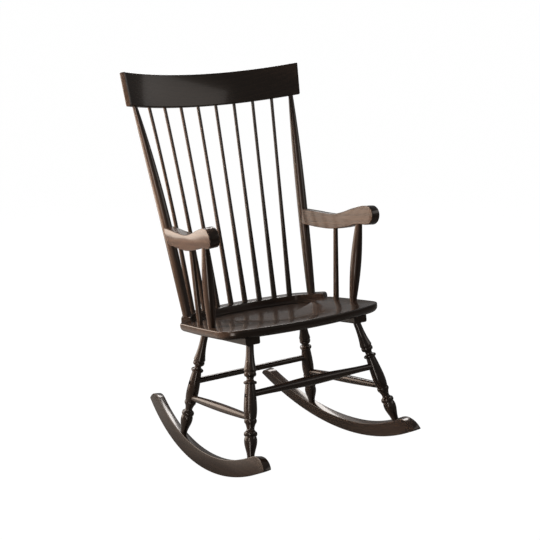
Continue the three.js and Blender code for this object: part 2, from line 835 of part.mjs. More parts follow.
function backSpindles(rail, crest) {
  for (let i = 0; i < spindleCount; i += 1) {
    const place = i - (spindleCount - 1) / 2;
    const from = railTop(place * spindlePitch);
    const to = crestFoot((place * crestPitch) / crestBow, crest);
    const options = { segments: 10, inside: spindleRailDepth, beyond: crestSocketDepth };
    const name = `back_spindle_${i + 1}`;
    const made = stick(name, spindleTurningShares, spindleFootDiameter, from, to, options);
    const outwards = (2 * place) / (spindleCount - 1);
    bend(made, -spindleBowInwards * outwards, -spindleBowAhead * Math.abs(outwards) ** 3);
    cut(rail, made, made.grown);
    cut(crest, made, made.grown);
  }
}

const postTurningShares = [
  [0, 0.8],
  [0.34, 0.97, 3, slowEnd(2)],
  [1, 0.46, 6, slowStart(2.6)],
];

function backPost(name, side, rail, crest) {
  const from = railTop(side * (railHalfLength - postFromWingEnd));
  const to = crestFoot(side * crestPostAngle, crest);
  const options = { inside: sink, beyond: sink };
  const made = stick(`back_post_${name}`, postTurningShares, postDiameter, from, to, options);
  bend(made, -side * postBowInwards, -postBowAhead);
  seatEnd(made, rail, postFootTenonDiameter, postFootTenon, false);
  seatEnd(made, crest, postTopTenonDiameter, crestSocketDepth, true);
  return made;
}

// Arm: a board on edge with a scrolled nose. Shares run from the nose back along the arm's
// length, and up its depth.
const armTopShares = [
  [0.083, 1],
  [0.15, 0.99],
  [0.28, 0.883],
  [0.411, 0.736],
  [0.537, 0.662],
  [0.69, 0.72],
  [0.81, 0.795],
  [1, 0.9],
];
const armBottomShares = [
  [1, 0.22],
  [0.86, 0.12],
  [0.72, 0.043],
  [0.567, 0],
  [0.41, 0.052],
  [0.32, 0.11],
  [0.24, 0.185],
  [0.17, 0.2],
  [0.11, 0.177],
];

function armOutline(nose) {
  const place = ([share, up]) => new THREE.Vector2(nose + share * armLength, up * armDepth);
  const edgeSteps = 12;
  const top = new THREE.SplineCurve(armTopShares.map(place)).getPoints(edgeSteps);
  const bottom = new THREE.SplineCurve(armBottomShares.map(place)).getPoints(edgeSteps);
  const centre = new THREE.Vector2(nose + armNose, armDepth - armNose);
  const points = [...bottom];
  const noseSteps = 8;
  for (let k = 1; k < noseSteps; k += 1) {
    const lean = Math.PI * (k / noseSteps);
    const x = centre.x - armNose * Math.sin(lean);
    points.push(new THREE.Vector2(x, centre.y - armNose * Math.cos(lean)));
  }
  points.push(...top);
  return points.reverse();
}

// The arm's nose lies a length ahead of its square end, which stops short of the post's axis.
function armNoseY(post) {
  return axisAt(post, armHeight + armDepth / 2).y - armEndGap - armLength;
}

function arm(name, side, post) {
  const geometry = board(armOutline(armNoseY(post)), armThickness, armEase);
  return piece(`arm_${name}`, wood, toSolid(geometry), (mesh) => {
    mesh.rotation.order = "ZYX";
    const tanLean = Math.tan(turn(armLean));
    mesh.position.set(side * (armHalfWidth + armHeight * tanLean), 0, armHeight);
    mesh.rotation.z = side * turn(armToe);
    mesh.rotation.y = side * turn(armLean);
  });
}

const armPostTurningShares = [
  [0, 0.65],
  [1, 0.63, 8, even, 0.36, swelling],
];
const armSpindleTurningShares = [
  [0, 1],
  [1, 0.8],
];

// Where a support of the arm meets the arm's underside, at a place along it.
function armSupportTop(side, probe, nose) {
  const share = (probe - nose) / armLength;
  const points = armBottomShares;
  let up = points[0][1];
  for (let k = 1; k < points.length; k += 1) {
    const [s0, u0] = points[k - 1];
    const [s1, u1] = points[k];
    if (share <= s0 && share >= s1) up = u0 + ((u1 - u0) * (share - s0)) / (s1 - s0);
  }
  const z = armHeight + up * armDepth;
  const x = armHalfWidth - probe * Math.tan(turn(armToe)) + z * Math.tan(turn(armLean));
  return new THREE.Vector3(side * x, probe, z);
}

function armSupports(name, side, armPiece, nose) {
  const postY = seatFront + armPostFromFront;
  const postFoot = new THREE.Vector3(side * armPostFootHalf, postY, 0);
  const postTop = armSupportTop(side, postY - armPostForward, nose);
  const long = { inside: sink, beyond: sink };
  const postName = `arm_post_${name}`;
  const post = stick(postName, armPostTurningShares, armPostDiameter, postFoot, postTop, long);
  seatEnd(post, seatPiece, armPostTenonDiameter, armPostTenon, false);
  seatEnd(post, armPiece, armPostTenonDiameter, armPostTenon, true);
  const spindleY = seatFront + armSpindleFromFront;
  const foot = new THREE.Vector3(side * armSpindleFootHalf, spindleY, 0);
  const top = armSupportTop(side, spindleY - armSpindleForward, nose);
  const deep = { inside: armSpindleDepth, beyond: armSpindleDepth };
  const spindleName = `arm_spindle_${name}`;
  const spindle = stick(spindleName, armSpindleTurningShares, armSpindleDiameter, foot, top, deep);
  cut(seatPiece, spindle, spindle.grown);
  cut(armPiece, spindle, spindle.grown);
}

// Assembly
const seatPiece = piece("seat", wood, seatSolid());
const railPiece = backRail();
const crestPiece = crestRail();
backSpindles(railPiece, crestPiece);

const legs = {};
for (const [name, side] of Object.entries(sides)) {
  const cleatPiece = cleat(name, side);
  const rockerPiece = rocker(name, side);
  const frontTop = seatFront + frontLegFromFront;
  const rearTop = seatBack - rearLegFromBack;
  for (const made of [
    leg(`front_${name}`, side, frontTop, -frontLegRake),
    leg(`rear_${name}`, side, rearTop, rearLegRake),
  ]) {
    seatEnd(made, cleatPiece, legTopTenonDiameter, legTopTenon, true);
    seatEnd(made, rockerPiece, legFootTenonDiameter, legFootTenon, false);
    legs[made.mesh.name] = made;
  }
  const pair = [legs[`leg_front_${name}`], legs[`leg_rear_${name}`]];
  const full = slowEnd(1.8);
  const sideShares = swelled(sideStretcherDiameter, sideStretcherEndDiameter, full, slowStart(1.8));
  stretcher(name, sideShares, sideStretcherDiameter, pair, sideStretcherDrop);

  const cleatMiddle = (frontTop + rearTop) / 2;
  for (const [place, end] of [["front", -1], ["rear", 1]]) {
    const y = cleatMiddle + (end * cleatBoltSpacing) / 2;
    const at = sidePoint(side, y, cleatBase + cleatBoltRecess);
    at.x = side * sideX(y, cleatBase);
    const up = at.clone().setZ(0);
    const boltName = `cleat_bolt_${place}_${name}`;
    const targets = [cleatPiece, seatPiece];
    fastener(boltName, cleatBoltHead, cleatBoltShank, cleatBoltLength, sink, at, up, targets);
  }

  const post = backPost(name, side, railPiece, crestPiece);
  const armPiece = arm(name, side, post);
  cut(armPiece, post, post.grown);
  armPiece.solid = keepLargest(armPiece.solid);
  armSupports(name, side, armPiece, armNoseY(post));
  const at = axisAt(post, armHeight + armDepth / 2);
  at.y += postDiameter / 2 - armScrewRecess;
  const ahead = new THREE.Vector3(side * armLength * Math.tan(turn(armToe)), -armLength, 0).add(at);
  const targets = [post, armPiece];
  fastener(`arm_screw_${name}`, armScrewHead, armScrewShank, armScrewLength, sink, at, ahead, targets);
}

for (const [name, drop, diameter] of [
  ["front", frontStretcherDrop, frontStretcherDiameter],
  ["rear", rearStretcherDrop, rearStretcherDiameter],
]) {
  const pair = [legs[`leg_${name}_left`], legs[`leg_${name}_right`]];
  const shares = swelled(diameter, stretcherEndDiameter, wave, wave);
  const made = stretcher(name, shares, diameter, pair, drop);
  for (const [sideName, side] of Object.entries(sides)) {
    const carrier = legs[`leg_${name}_${sideName}`];
    const at = axisAt(carrier, -drop);
    at.x += side * (legDiameter / 2 - boltRecess);
    const inwards = at.clone().setX(0);
    const boltName = `stretcher_bolt_${name}_${sideName}`;
    fastener(boltName, boltHead, boltShank, boltLength, sink, at, inwards, [carrier, made]);
  }
}

const screwPlaces = [0, 1, -1];
for (const [i, place] of screwPlaces.entries()) {
  const distance = place * (railHalfLength - postFromWingEnd - railScrewFromPost);
  const at = railTop(distance);
  at.z -= railScrewRecess;
  const down = at.clone().setZ(-seatThickness);
  const targets = [railPiece, seatPiece];
  fastener(`rail_screw_${i + 1}`, railScrewHead, railScrewShank, railScrewLength, sink, at, down, targets);
}

// The finished meshes, leaned back to the angle of rest and set down on the floor.
const chair = new THREE.Group();
for (const made of pieces) {
  made.mesh.geometry = toGeometry(made.solid);
  chair.add(made.mesh);
}
chair.rotation.x = -turn(restTilt);
const group = new THREE.Group();
group.add(chair);
group.updateMatrixWorld(true);
const box = new THREE.Box3().setFromObject(group, true);
const middle = box.getCenter(new THREE.Vector3());
chair.position.set(-middle.x, -middle.y, -box.min.z);
group.updateMatrixWorld(true);

export default group;
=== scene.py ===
"""Boston rocking chair: finely shaped pieces, finishes and studio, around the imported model.

Every piece is shaped in metres in its own frame, then stood in the chair's own level frame
(X across, Y back along the seat, Z up from the seat's rim), and then leaned back to the angle
at which the chair rests. "left" and "right" are the sitter's, so left is +X.
"""

import math

import bmesh
import bpy
from mathutils import Matrix, Vector, kdtree


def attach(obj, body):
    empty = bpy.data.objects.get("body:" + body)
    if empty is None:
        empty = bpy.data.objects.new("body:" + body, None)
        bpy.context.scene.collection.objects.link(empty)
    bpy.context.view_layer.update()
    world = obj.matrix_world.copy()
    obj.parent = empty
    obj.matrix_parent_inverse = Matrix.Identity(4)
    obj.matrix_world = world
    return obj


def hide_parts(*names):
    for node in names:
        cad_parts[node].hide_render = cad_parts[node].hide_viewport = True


bl_info = {
    "name": "Boston Rocking Chair",
    "version": (1, 0, 0),
    "blender": (4, 5, 0),
    "location": "View3D > Sidebar > Chair",
    "description": "Models, finishes and lights a Boston rocking chair",
    "category": "Object",
}

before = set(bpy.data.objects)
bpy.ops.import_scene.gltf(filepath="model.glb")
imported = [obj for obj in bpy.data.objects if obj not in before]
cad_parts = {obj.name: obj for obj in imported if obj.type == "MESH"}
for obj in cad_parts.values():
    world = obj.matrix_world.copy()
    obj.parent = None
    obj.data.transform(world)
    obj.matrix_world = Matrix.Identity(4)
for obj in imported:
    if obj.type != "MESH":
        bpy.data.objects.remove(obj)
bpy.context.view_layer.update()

SIDES = {"left": 1, "right": -1}
REST_LEAN = math.radians(10)
REST_SHIFT = (0.0, -0.03015340, 0.42023854)
CHAIR_AT_REST = Matrix.Translation(REST_SHIFT) @ Matrix.Rotation(-REST_LEAN, 4, "X")

SMOOTH_ANGLE = math.radians(32)
TURN_STEPS = 48
WHITE = (1, 1, 1, 1)
WARM = (1.0, 0.89, 0.78)
WOOD_PLACE = "wood_place"


# Sizes and colours that a user would change

def metres(name, description, default):
    return bpy.props.FloatProperty(
        name=name, description=description, default=default, min=0.0, precision=4, unit="LENGTH"
    )


def degrees(name, description, default):
    return bpy.props.FloatProperty(
        name=name, description=description, default=math.radians(default), subtype="ANGLE"
    )


def share(name, description, default):
    return bpy.props.FloatProperty(
        name=name, description=description, default=default, min=0.0, max=1.0, subtype="FACTOR"
    )


def tint(name, description, default):
    return bpy.props.FloatVectorProperty(
        name=name, description=description, default=default, min=0.0, max=1.0, subtype="COLOR"
    )


def watts(name, description, default):
    return bpy.props.FloatProperty(
        name=name, description=description, default=default, min=0.0, unit="POWER"
    )


class SeatSizes(bpy.types.PropertyGroup):
    width: metres("Width", "Between the front corners", 0.538)
    rear_width: metres("Rear width", "Where the sides meet the back rail's ends", 0.515)
    depth: metres("Depth", "Front edge to back edge on the centre line", 0.447)
    ahead: metres("Ahead", "How much of the depth lies ahead of the middle", 0.219)
    thickness: metres("Thickness", "Plank before it is hollowed", 0.027)
    front_bow: metres("Front bow", "Plan radius of the front edge", 0.650)
    side_bow: metres("Side bow", "How far a side bows out", 0.003)
    corner: metres("Corner", "Plan radius of a front corner", 0.045)
    rim_round: metres("Rim", "Easing of the upper rim", 0.003)
    lower_round: metres("Lower round", "Width of the round under the edge", 0.020)
    lower_rise: metres("Lower rise", "Height of that round", 0.017)
    saddle_depth: metres("Saddle depth", "Depth of the hollow", 0.0135)
    saddle_width: metres("Saddle width", "Width of the hollow's straight part", 0.330)
    saddle_border: metres("Front border", "Rim left ahead of the hollow", 0.051)
    saddle_front: metres("Front slope", "How far the hollow's front slope runs", 0.105)
    saddle_back: metres("Back slope", "How far the cove under the rail runs", 0.009)
    saddle_middle: metres("Hollow's middle", "How far behind the middle it is widest", 0.050)


class BackSizes(bpy.types.PropertyGroup):
    rail_bow: metres("Rail bow", "Plan radius of the rail's long middle", 0.600)
    rail_bow_half: metres("Rail middle", "Half the width of that middle", 0.1665)
    rail_corner: metres("Rail corner", "Plan radius of its corners", 0.058)
    rail_wing: metres("Rail wing", "Straight part of each end", 0.084)
    rail_wing_angle: degrees("Wing angle", "How far an end turns forward", 58)
    rail_depth: metres("Rail depth", "Front face to back face", 0.028)
    rail_margin: metres("Rail margin", "Seat left behind the rail", 0.005)
    rail_end_height: metres("Rail end height", "Front face at the ends", 0.015)
    rail_middle_height: metres("Rail height", "Front face at the middle", 0.0165)
    rail_top_rise: metres("Rail rise", "Back edge over front edge at the middle", 0.0055)
    rail_wing_rise: metres("Wing rise", "Back edge over front edge at the ends", 0.001)
    rail_bed: degrees("Rail bed", "How far the bed under the rail falls to the back", 4)
    length: metres("Back length", "Rail to crest along the rake", 0.610)
    rake: degrees("Rake", "Lean of the back", 6.9)
    crest_bow: metres("Crest bow", "Plan radius of the crest", 0.632)
    crest_thickness: metres("Crest thickness", "Front face to back face", 0.0170)
    crest_height: metres("Crest height", "Bottom edge to top edge", 0.098)
    crest_overhang: metres("Crest overhang", "Crest beyond a post", 0.029)
    crest_flare: metres("Crest flare", "How much wider each half is at the top", 0.007)
    crest_arch: metres("Crest arch", "Rise of its bottom edge at the ends", 0.005)
    crest_crown: metres("Crest crown", "Rise of its top edge at the ends", 0.005)
    crest_pitch: metres("Crest pitch", "Between spindles at the crest", 0.062)
    spindle_pitch: metres("Spindle pitch", "Between spindles at the rail", 0.050)
    spindle_foot: metres("Spindle foot", "Diameter at the rail", 0.017)
    spindle_top: metres("Spindle top", "Diameter at the crest", 0.010)
    post_diameter: metres("Post", "Thickest diameter of a post", 0.0315)
    post_from_end: metres("Post place", "Post to the end of the rail", 0.048)
    post_ahead: metres("Post bow", "How far a post bows forward", 0.0065)
    post_inwards: metres("Post bow inwards", "How far a post bows inwards", 0.0034)
    spindle_ahead: metres("Spindle bow", "The same for the outermost spindles", 0.0054)
    spindle_inwards: metres("Spindle bow inwards", "The same inwards", 0.0034)


class ArmSizes(bpy.types.PropertyGroup):
    length: metres("Length", "Nose to the square end", 0.3225)
    depth: metres("Depth", "Lowest point to highest", 0.068)
    thickness: metres("Thickness", "Width of its edges", 0.030)
    height: metres("Height", "Seat's rim to its lowest point", 0.214)
    end_gap: metres("End gap", "Square end ahead of the post's axis", 0.008)
    half_width: metres("Half width", "Board to the chair's middle", 0.2274)
    toe: degrees("Toe", "How far the arms open to the front", 5.65)
    lean: degrees("Lean", "How far they lean out", 5.3)
    nose: metres("Nose", "Radius of the round front end", 0.028)
    post_from_front: metres("Post place", "Foot to the seat's front edge", 0.162)
    post_foot: metres("Post foot", "Foot to the chair's middle", 0.242)
    post_forward: metres("Post lean", "How far its top is ahead of its foot", 0.039)
    post_diameter: metres("Post", "Full diameter of its turning", 0.0325)
    spindle_from_front: metres("Spindle place", "Foot to the seat's front edge", 0.240)
    spindle_foot: metres("Spindle foot", "Foot to the chair's middle", 0.2357)
    spindle_forward: metres("Spindle lean", "How far its top is ahead of its foot", 0.0135)
    spindle_diameter: metres("Spindle", "Diameter at its foot", 0.0175)


class SideSizes(bpy.types.PropertyGroup):
    half: metres("Side plane", "A side's plane to the middle", 0.1651)
    lean: degrees("Lean", "How far the sides spread to the floor", 12.2)
    toe: degrees("Toe", "How far the sides open to the front", 2.02)
    cleat_height: metres("Cleat height", "Bar under the seat", 0.020)
    leg_diameter: metres("Leg", "Thickest diameter of a leg", 0.0366)
    leg_length: metres("Turned length", "Turned part of a leg", 0.305)
    front_from_front: metres("Front legs", "Behind the seat's front edge", 0.068)
    rear_from_back: metres("Rear legs", "Ahead of the seat's back edge", 0.1085)
    front_rake: degrees("Front rake", "Rake of the front legs", 11.4)
    rear_rake: degrees("Rear rake", "Rake of the rear legs", 15.7)
    front_drop: metres("Front stretcher", "Below the seat's rim", 0.178)
    rear_drop: metres("Rear stretcher", "Below the seat's rim", 0.189)
    side_drop: metres("Side stretchers", "Below the seat's rim", 0.238)
    front_diameter: metres("Front stretcher belly", "Thickest diameter", 0.028)
    rear_diameter: metres("Rear stretcher belly", "Thickest diameter", 0.018)
    side_diameter: metres("Side stretcher belly", "Thickest diameter", 0.0245)
    end_diameter: metres("Stretcher ends", "Diameter at the legs", 0.018)
    side_end_diameter: metres("Side stretcher ends", "Diameter at the legs", 0.018)
    stretcher_depth: metres("Stretcher depth", "How deep it goes into a leg", 0.012)
    rocker_radius: metres("Rocker radius", "Radius of the sole's arc", 0.775)
    rocker_drop: metres("Rocker drop", "Seat's rim to the arc's lowest point", 0.41548)
    rocker_centre: metres("Rocker centre", "Behind the seat's front edge", 0.216)
    rocker_thickness: metres("Rocker thickness", "Thickness of the board", 0.024)
    rocker_height: metres("Rocker height", "Height of the board", 0.0415)
    rocker_nose_gain: metres("Nose gain", "How much deeper it is at its nose", 0.0055)
    rocker_nose_run: degrees("Nose run", "Arc over which it deepens", 20)
    rocker_nose_round: metres("Nose round", "Length of the rounded nose", 0.058)
    rocker_tail_round: metres("Tail round", "Length of the rounded tail", 0.050)
    rocker_facet: degrees("Flat", "Arc of each flat of the packed sole", 2.62)
    rocker_ahead: bpy.props.FloatProperty(
        name="Flats ahead", description="Flats from the resting one to the nose", default=12.5
    )
    rocker_behind: bpy.props.FloatProperty(
        name="Flats behind", description="Flats from the resting one to the tail", default=9.5
    )


class Finish(bpy.types.PropertyGroup):
    stain: tint("Stain", "Espresso stain on plain wood", (0.030, 0.0190, 0.0142))
    # Also the colour of the paled edges and beads, which are partly wear and partly a painted
    # highlight.
    thin_stain_and_highlight: tint("Thin stain", "Where the stain lies thin", (0.074, 0.044, 0.030))
    stain_pores: tint("Pores", "Stain gathered in the pores", (0.010, 0.007, 0.006))
    lacquer: tint("Lacquer", "Warm tint of the lacquer's gloss", (1.0, 0.84, 0.72))
    sheen: share("Roughness", "Roughness of the wood under the lacquer", 0.20)
    coat: share("Lacquer coat", "How much of the clear coat there is", 0.35)
    coat_sheen: share("Coat roughness", "Roughness of the clear coat", 0.085)
    grain: share("Grain", "How much the grain shows", 0.6)
    steel: tint("Steel", "Blackened steel", (0.018, 0.017, 0.017))


class Studio(bpy.types.PropertyGroup):
    floor: tint("Floor", "Colour of the floor", (0.18, 0.18, 0.18))
    key: watts("Left lamp", "Power of the soft box beside the arms", 12.0)
    side: watts("Side lamp", "Power of the soft box beside the rocker", 3.2)
    high: watts("High lamp", "Power of the soft box high on the left behind", 13.0)
    rim: watts("Rim lamp", "Power of the wide soft box on the left behind", 24.0)
    band: watts("Band lamp", "Power of the tall soft box on the left in front", 11.0)
    low: watts("Low lamp", "Power of the small lamp beside the legs", 1.4)
    top: watts("Top lamp", "Power of the overhead lamp", 32.0)
    fill: watts("Fill lamp", "Power of the weak soft box on the right in front", 6.2)
    back: watts("Back lamp", "Power of the soft box on the right behind", 1.8)


def seat_sizes():
    return bpy.context.scene.chair_seat


def back_sizes():
    return bpy.context.scene.chair_back


def arm_sizes():
    return bpy.context.scene.chair_arms


def side_sizes():
    return bpy.context.scene.chair_sides


# Ways from one radius or height to the next: each takes and gives a share from 0 to 1

def even(t):
    return t


def slow_start(power):
    return lambda t: t**power


def slow_end(power):
    return lambda t: 1 - (1 - t) ** power


def wave(t):
    return (1 - math.cos(math.pi * t)) / 2


def swelling(t):
    return math.sin(math.pi * t)


def roundness(t):
    return math.sqrt(max(0.0, 1 - (2 * t - 1) ** 2))


def between(low, high, value):
    return min(max(value, low), high)


def bow_at(reach):
    return 4 * reach * (1 - reach)


# Modelling, as by hand

def nothing_selected():
    """Leaves edit mode and deselects everything."""
    if bpy.context.object and bpy.context.object.mode != "OBJECT":
        bpy.ops.object.mode_set(mode="OBJECT")
    bpy.ops.object.select_all(action="DESELECT")


def started(name):
    """Names the primitive that was just added, and opens it in edit mode, all selected."""
    piece = bpy.context.object
    piece.name = name
    piece.data.name = name
    bpy.ops.object.mode_set(mode="EDIT")
    bpy.ops.mesh.select_all(action="SELECT")
    return piece


def tidied(piece):
    """Merges doubles, turns the faces outwards, and leaves edit mode."""
    bpy.ops.mesh.select_all(action="SELECT")
    bpy.ops.mesh.remove_doubles(threshold=1e-6)
    bpy.ops.mesh.normals_make_consistent(inside=False)
    bpy.ops.object.mode_set(mode="OBJECT")
    return piece


def spun(name, outline, steps=TURN_STEPS):
    """A turned piece: an outline of (radius, height) drawn out from one point, and spun."""
    nothing_selected()
    bpy.ops.mesh.primitive_plane_add(size=0.01)
    piece = started(name)
    bpy.ops.mesh.merge(type="CENTER")
    bpy.ops.transform.translate(value=(outline[0][0], 0, outline[0][1]))
    for (r0, z0), (r1, z1) in zip(outline, outline[1:]):
        bpy.ops.mesh.extrude_region_move(TRANSFORM_OT_translate={"value": (r1 - r0, 0, z1 - z0)})
    bpy.ops.mesh.select_all(action="SELECT")
    bpy.ops.mesh.spin(steps=steps, angle=2 * math.pi, center=(0, 0, 0), axis=(0, 0, 1))
    return tidied(piece)


def place_ring(piece, before, ring):
    """Moves the selected ring of vertices from where they are to the points of a new ring."""
    tree = kdtree.KDTree(len(before))
    for index, point in enumerate(before):
        tree.insert(point, index)
    tree.balance()
    mesh = bmesh.from_edit_mesh(piece.data)
    for vertex in mesh.verts:
        if vertex.select:
            vertex.co = ring[tree.find(vertex.co)[1]]
    bmesh.update_edit_mesh(piece.data)


def lofted(name, rings, pole=False):
    """A round face, drawn out ring by ring, each ring put in its place. A pole closes the last
    ring to a point."""
    nothing_selected()
    count = len(rings[0])
    bpy.ops.mesh.primitive_circle_add(vertices=count, radius=1, fill_type="NGON")
    piece = started(name)
    before = [vertex.co.copy() for vertex in bmesh.from_edit_mesh(piece.data).verts]
    place_ring(piece, before, rings[0])
    for last, ring in zip(rings, rings[1:]):
        bpy.ops.mesh.extrude_region_move()
        place_ring(piece, last, ring)
    if pole:
        bpy.ops.mesh.merge(type="CENTER")
    return tidied(piece)


def applied(piece, kind, **settings):
    """Adds a modifier with these settings and applies it."""
    nothing_selected()
    piece.select_set(True)
    bpy.context.view_layer.objects.active = piece
    modifier = piece.modifiers.new(kind.title(), kind)
    for key, value in settings.items():
        setattr(modifier, key, value)
    bpy.ops.object.modifier_apply(modifier=modifier.name)
    return piece


def eased(piece, width, segments=3, angle=35):
    """Rounds the sharp edges over."""
    return applied(
        piece,
        "BEVEL",
        width=width,
        segments=segments,
        limit_method="ANGLE",
        angle_limit=math.radians(angle),
        use_clamp_overlap=True,
    )


def bored(piece, drills):
    """Cuts holes with drills, and puts the drills away."""
    for drill in drills:
        applied(piece, "BOOLEAN", object=drill, operation="DIFFERENCE", solver="EXACT")
        bpy.data.objects.remove(drill)
    return piece


def smoothed(piece):
    nothing_selected()
    piece.select_set(True)
    bpy.context.view_layer.objects.active = piece
    bpy.ops.object.shade_smooth_by_angle(angle=SMOOTH_ANGLE)
    return piece


def reshaped(piece, change):
    """Moves every point of a mesh."""
    for vertex in piece.data.vertices:
        vertex.co = change(vertex.co)
    return piece


def cut_from(piece, board, unroll=None):
    """Keeps each point's place in the wood, with Z along the grain. Each board has its own."""
    attribute = piece.data.attributes.new(WOOD_PLACE, "FLOAT_VECTOR", "POINT")
    apart = Vector((0.37 * board, 0.61 * board, 1.7 * board))
    for vertex, value in zip(piece.data.vertices, attribute.data):
        value.vector = (unroll(vertex.co) if unroll else vertex.co) + apart
    return piece


def copy_of(piece, name):
    """A copy with its own mesh."""
    twin = piece.copy()
    twin.data = piece.data.copy()
    twin.name = name
    twin.data.name = name
    bpy.context.scene.collection.objects.link(twin)
    return twin


def mirrored(piece, name):
    """The other side's piece."""
    twin = copy_of(piece, name)
    nothing_selected()
    twin.select_set(True)
    bpy.context.view_layer.objects.active = twin
    twin.data.transform(Matrix.Scale(-1, 4, (1, 0, 0)))
    bpy.ops.object.mode_set(mode="EDIT")
    bpy.ops.mesh.select_all(action="SELECT")
    bpy.ops.mesh.flip_normals()
    bpy.ops.object.mode_set(mode="OBJECT")
    return twin


def finished(piece, slot, material, *nodes):
    """Stands a piece that was shaped in the chair's frame at rest, in place of its nodes."""
    piece.data.transform(CHAIR_AT_REST)
    piece.data.materials.clear()
    piece.data.materials.append(material)
    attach(piece, "root")
    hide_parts(*nodes)
    return piece


def in_wood(piece, *nodes):
    return finished(piece, "stained_wood", wood_finish(), *nodes)


def in_steel(piece, *nodes):
    return finished(piece, "blackened_steel", steel_finish(), *nodes)


# Turned sticks

def turning(table, length, radius, fineness=3):
    """Outline of a turning from shares: [station, radius, steps, way, bulge, form]."""
    points = [(table[0][1] * radius, 0.0)]
    for before, row in zip(table, table[1:]):
        at0, r0 = before[:2]
        at1, r1, steps, way, bulge, form = (*row, *(1, even, 0.0, roundness)[len(row) - 2 :])
        count = steps * fineness if steps > 1 else 1
        for k in range(1, count + 1):
            # Stations crowd towards the ends of a bead or cove, where its outline turns.
            t = wave(k / count) if bulge and form is roundness else k / count
            reach = r0 + (r1 - r0) * way(t) + bulge * form(t)
            points.append((reach * radius, (at0 + (at1 - at0) * t) * length))
    return points


def stick(name, table, diameter, length, inside, beyond, turned=None, lower=None, upper=None):
    """A turned piece, running on into what it meets at its foot and its top. A tenon is a
    radius and a length."""
    outline = turning(table, turned or length, diameter / 2)
    foot, top = outline[0][0], outline[-1][0]
    ends = [(0.0, -inside)]
    if lower:
        radius, reach = lower
        ends = [(0.0, -reach), (radius, -reach), (radius, -inside)]
    tops = [(0.0, length + beyond)]
    if upper:
        radius, reach = upper
        tops = [(radius, length + beyond), (radius, length + reach), (0.0, length + reach)]
    return spun(name, ends + [(foot, -inside)] + outline + [(top, length + beyond)] + tops)


def stood(piece, start, end, aside=None):
    """Stands a turned piece between two points, bent aside in the middle if asked."""
    way = (end - start).normalized()
    upright = Vector((0, 0, 1)).rotation_difference(way)
    if aside is not None:
        push = upright.inverted() @ aside
        length = (end - start).length
        reshaped(piece, lambda co: co + Vector((push.x, push.y, 0)) * bow_at(co.z / length))
    piece.data.transform(Matrix.Translation(start) @ upright.to_matrix().to_4x4())
    return piece


# The bent rail that carries the back, in plan

def rail_parts():
    """Length of the rail's long bow and of a corner, and the angle at which the corner starts."""
    back = back_sizes()
    start = math.asin(back.rail_bow_half / back.rail_bow)
    return back.rail_bow * start, back.rail_corner * (back.rail_wing_angle - start), start


def rail_half_length():
    bow, corner, _ = rail_parts()
    return bow + corner + back_sizes().rail_wing


def rail_middle():
    seat, back = seat_sizes(), back_sizes()
    return seat.depth - seat.ahead - back.rail_margin - back.rail_depth / 2


def rail_plan(distance, out=0.0):
    """Point at a signed distance along the rail from its middle, and "out" beyond its line."""
    back = back_sizes()
    bow, corner, start = rail_parts()
    run = abs(distance)
    on_bow = min(run, bow) / back.rail_bow
    on_corner = between(0.0, corner, run - bow) / back.rail_corner
    on_wing = max(run - bow - corner, 0.0)
    heading = on_bow + on_corner
    x = back.rail_bow * math.sin(on_bow)
    y = rail_middle() - back.rail_bow + back.rail_bow * math.cos(on_bow)
    if on_corner > 0:
        x += back.rail_corner * (math.sin(heading) - math.sin(start))
        y += back.rail_corner * (math.cos(heading) - math.cos(start))
    x += on_wing * math.cos(heading) + out * math.sin(heading)
    y += out * math.cos(heading) - on_wing * math.sin(heading)
    return Vector((math.copysign(x, distance), y))


def bed_height(y):
    """Seat's top around the hollow: level, then falling under the rail."""
    back = back_sizes()
    start = rail_plan(rail_half_length(), -back.rail_depth / 2).y
    return -max(0.0, y - start) * math.tan(back.rail_bed)


def rail_share(y):
    end = rail_plan(rail_half_length()).y
    return (y - end) / (rail_middle() - end)


def rail_front_top(y):
    back = back_sizes()
    gain = (back.rail_middle_height - back.rail_end_height) * rail_share(y)
    fall = (y - rail_plan(rail_half_length()).y) * math.tan(back.rail_bed)
    return back.rail_end_height + gain - fall


def rail_rise(y):
    back = back_sizes()
    return back.rail_wing_rise + (back.rail_top_rise - back.rail_wing_rise) * rail_share(y)


def rail_top(distance):
    """Where a stick stands on the rail."""
    p = rail_plan(distance)
    return Vector((p.x, p.y, rail_front_top(p.y) + rail_rise(p.y) / 2))


def rounded(corners, radii, steps=5):
    """Points round a closed section, each corner eased by a radius with an arc."""
    points = []
    for k, (corner, radius) in enumerate(zip(corners, radii)):
        before, after = corners[k - 1], corners[(k + 1) % len(corners)]
        if radius == 0:
            points.append(corner)
            continue
        start = corner + (before - corner).normalized() * radius
        end = corner + (after - corner).normalized() * radius
        for n in range(steps + 1):
            t = n / steps
            points.append(start * (1 - t) ** 2 + corner * (2 * t * (1 - t)) + end * t**2)
    return points


# Seat

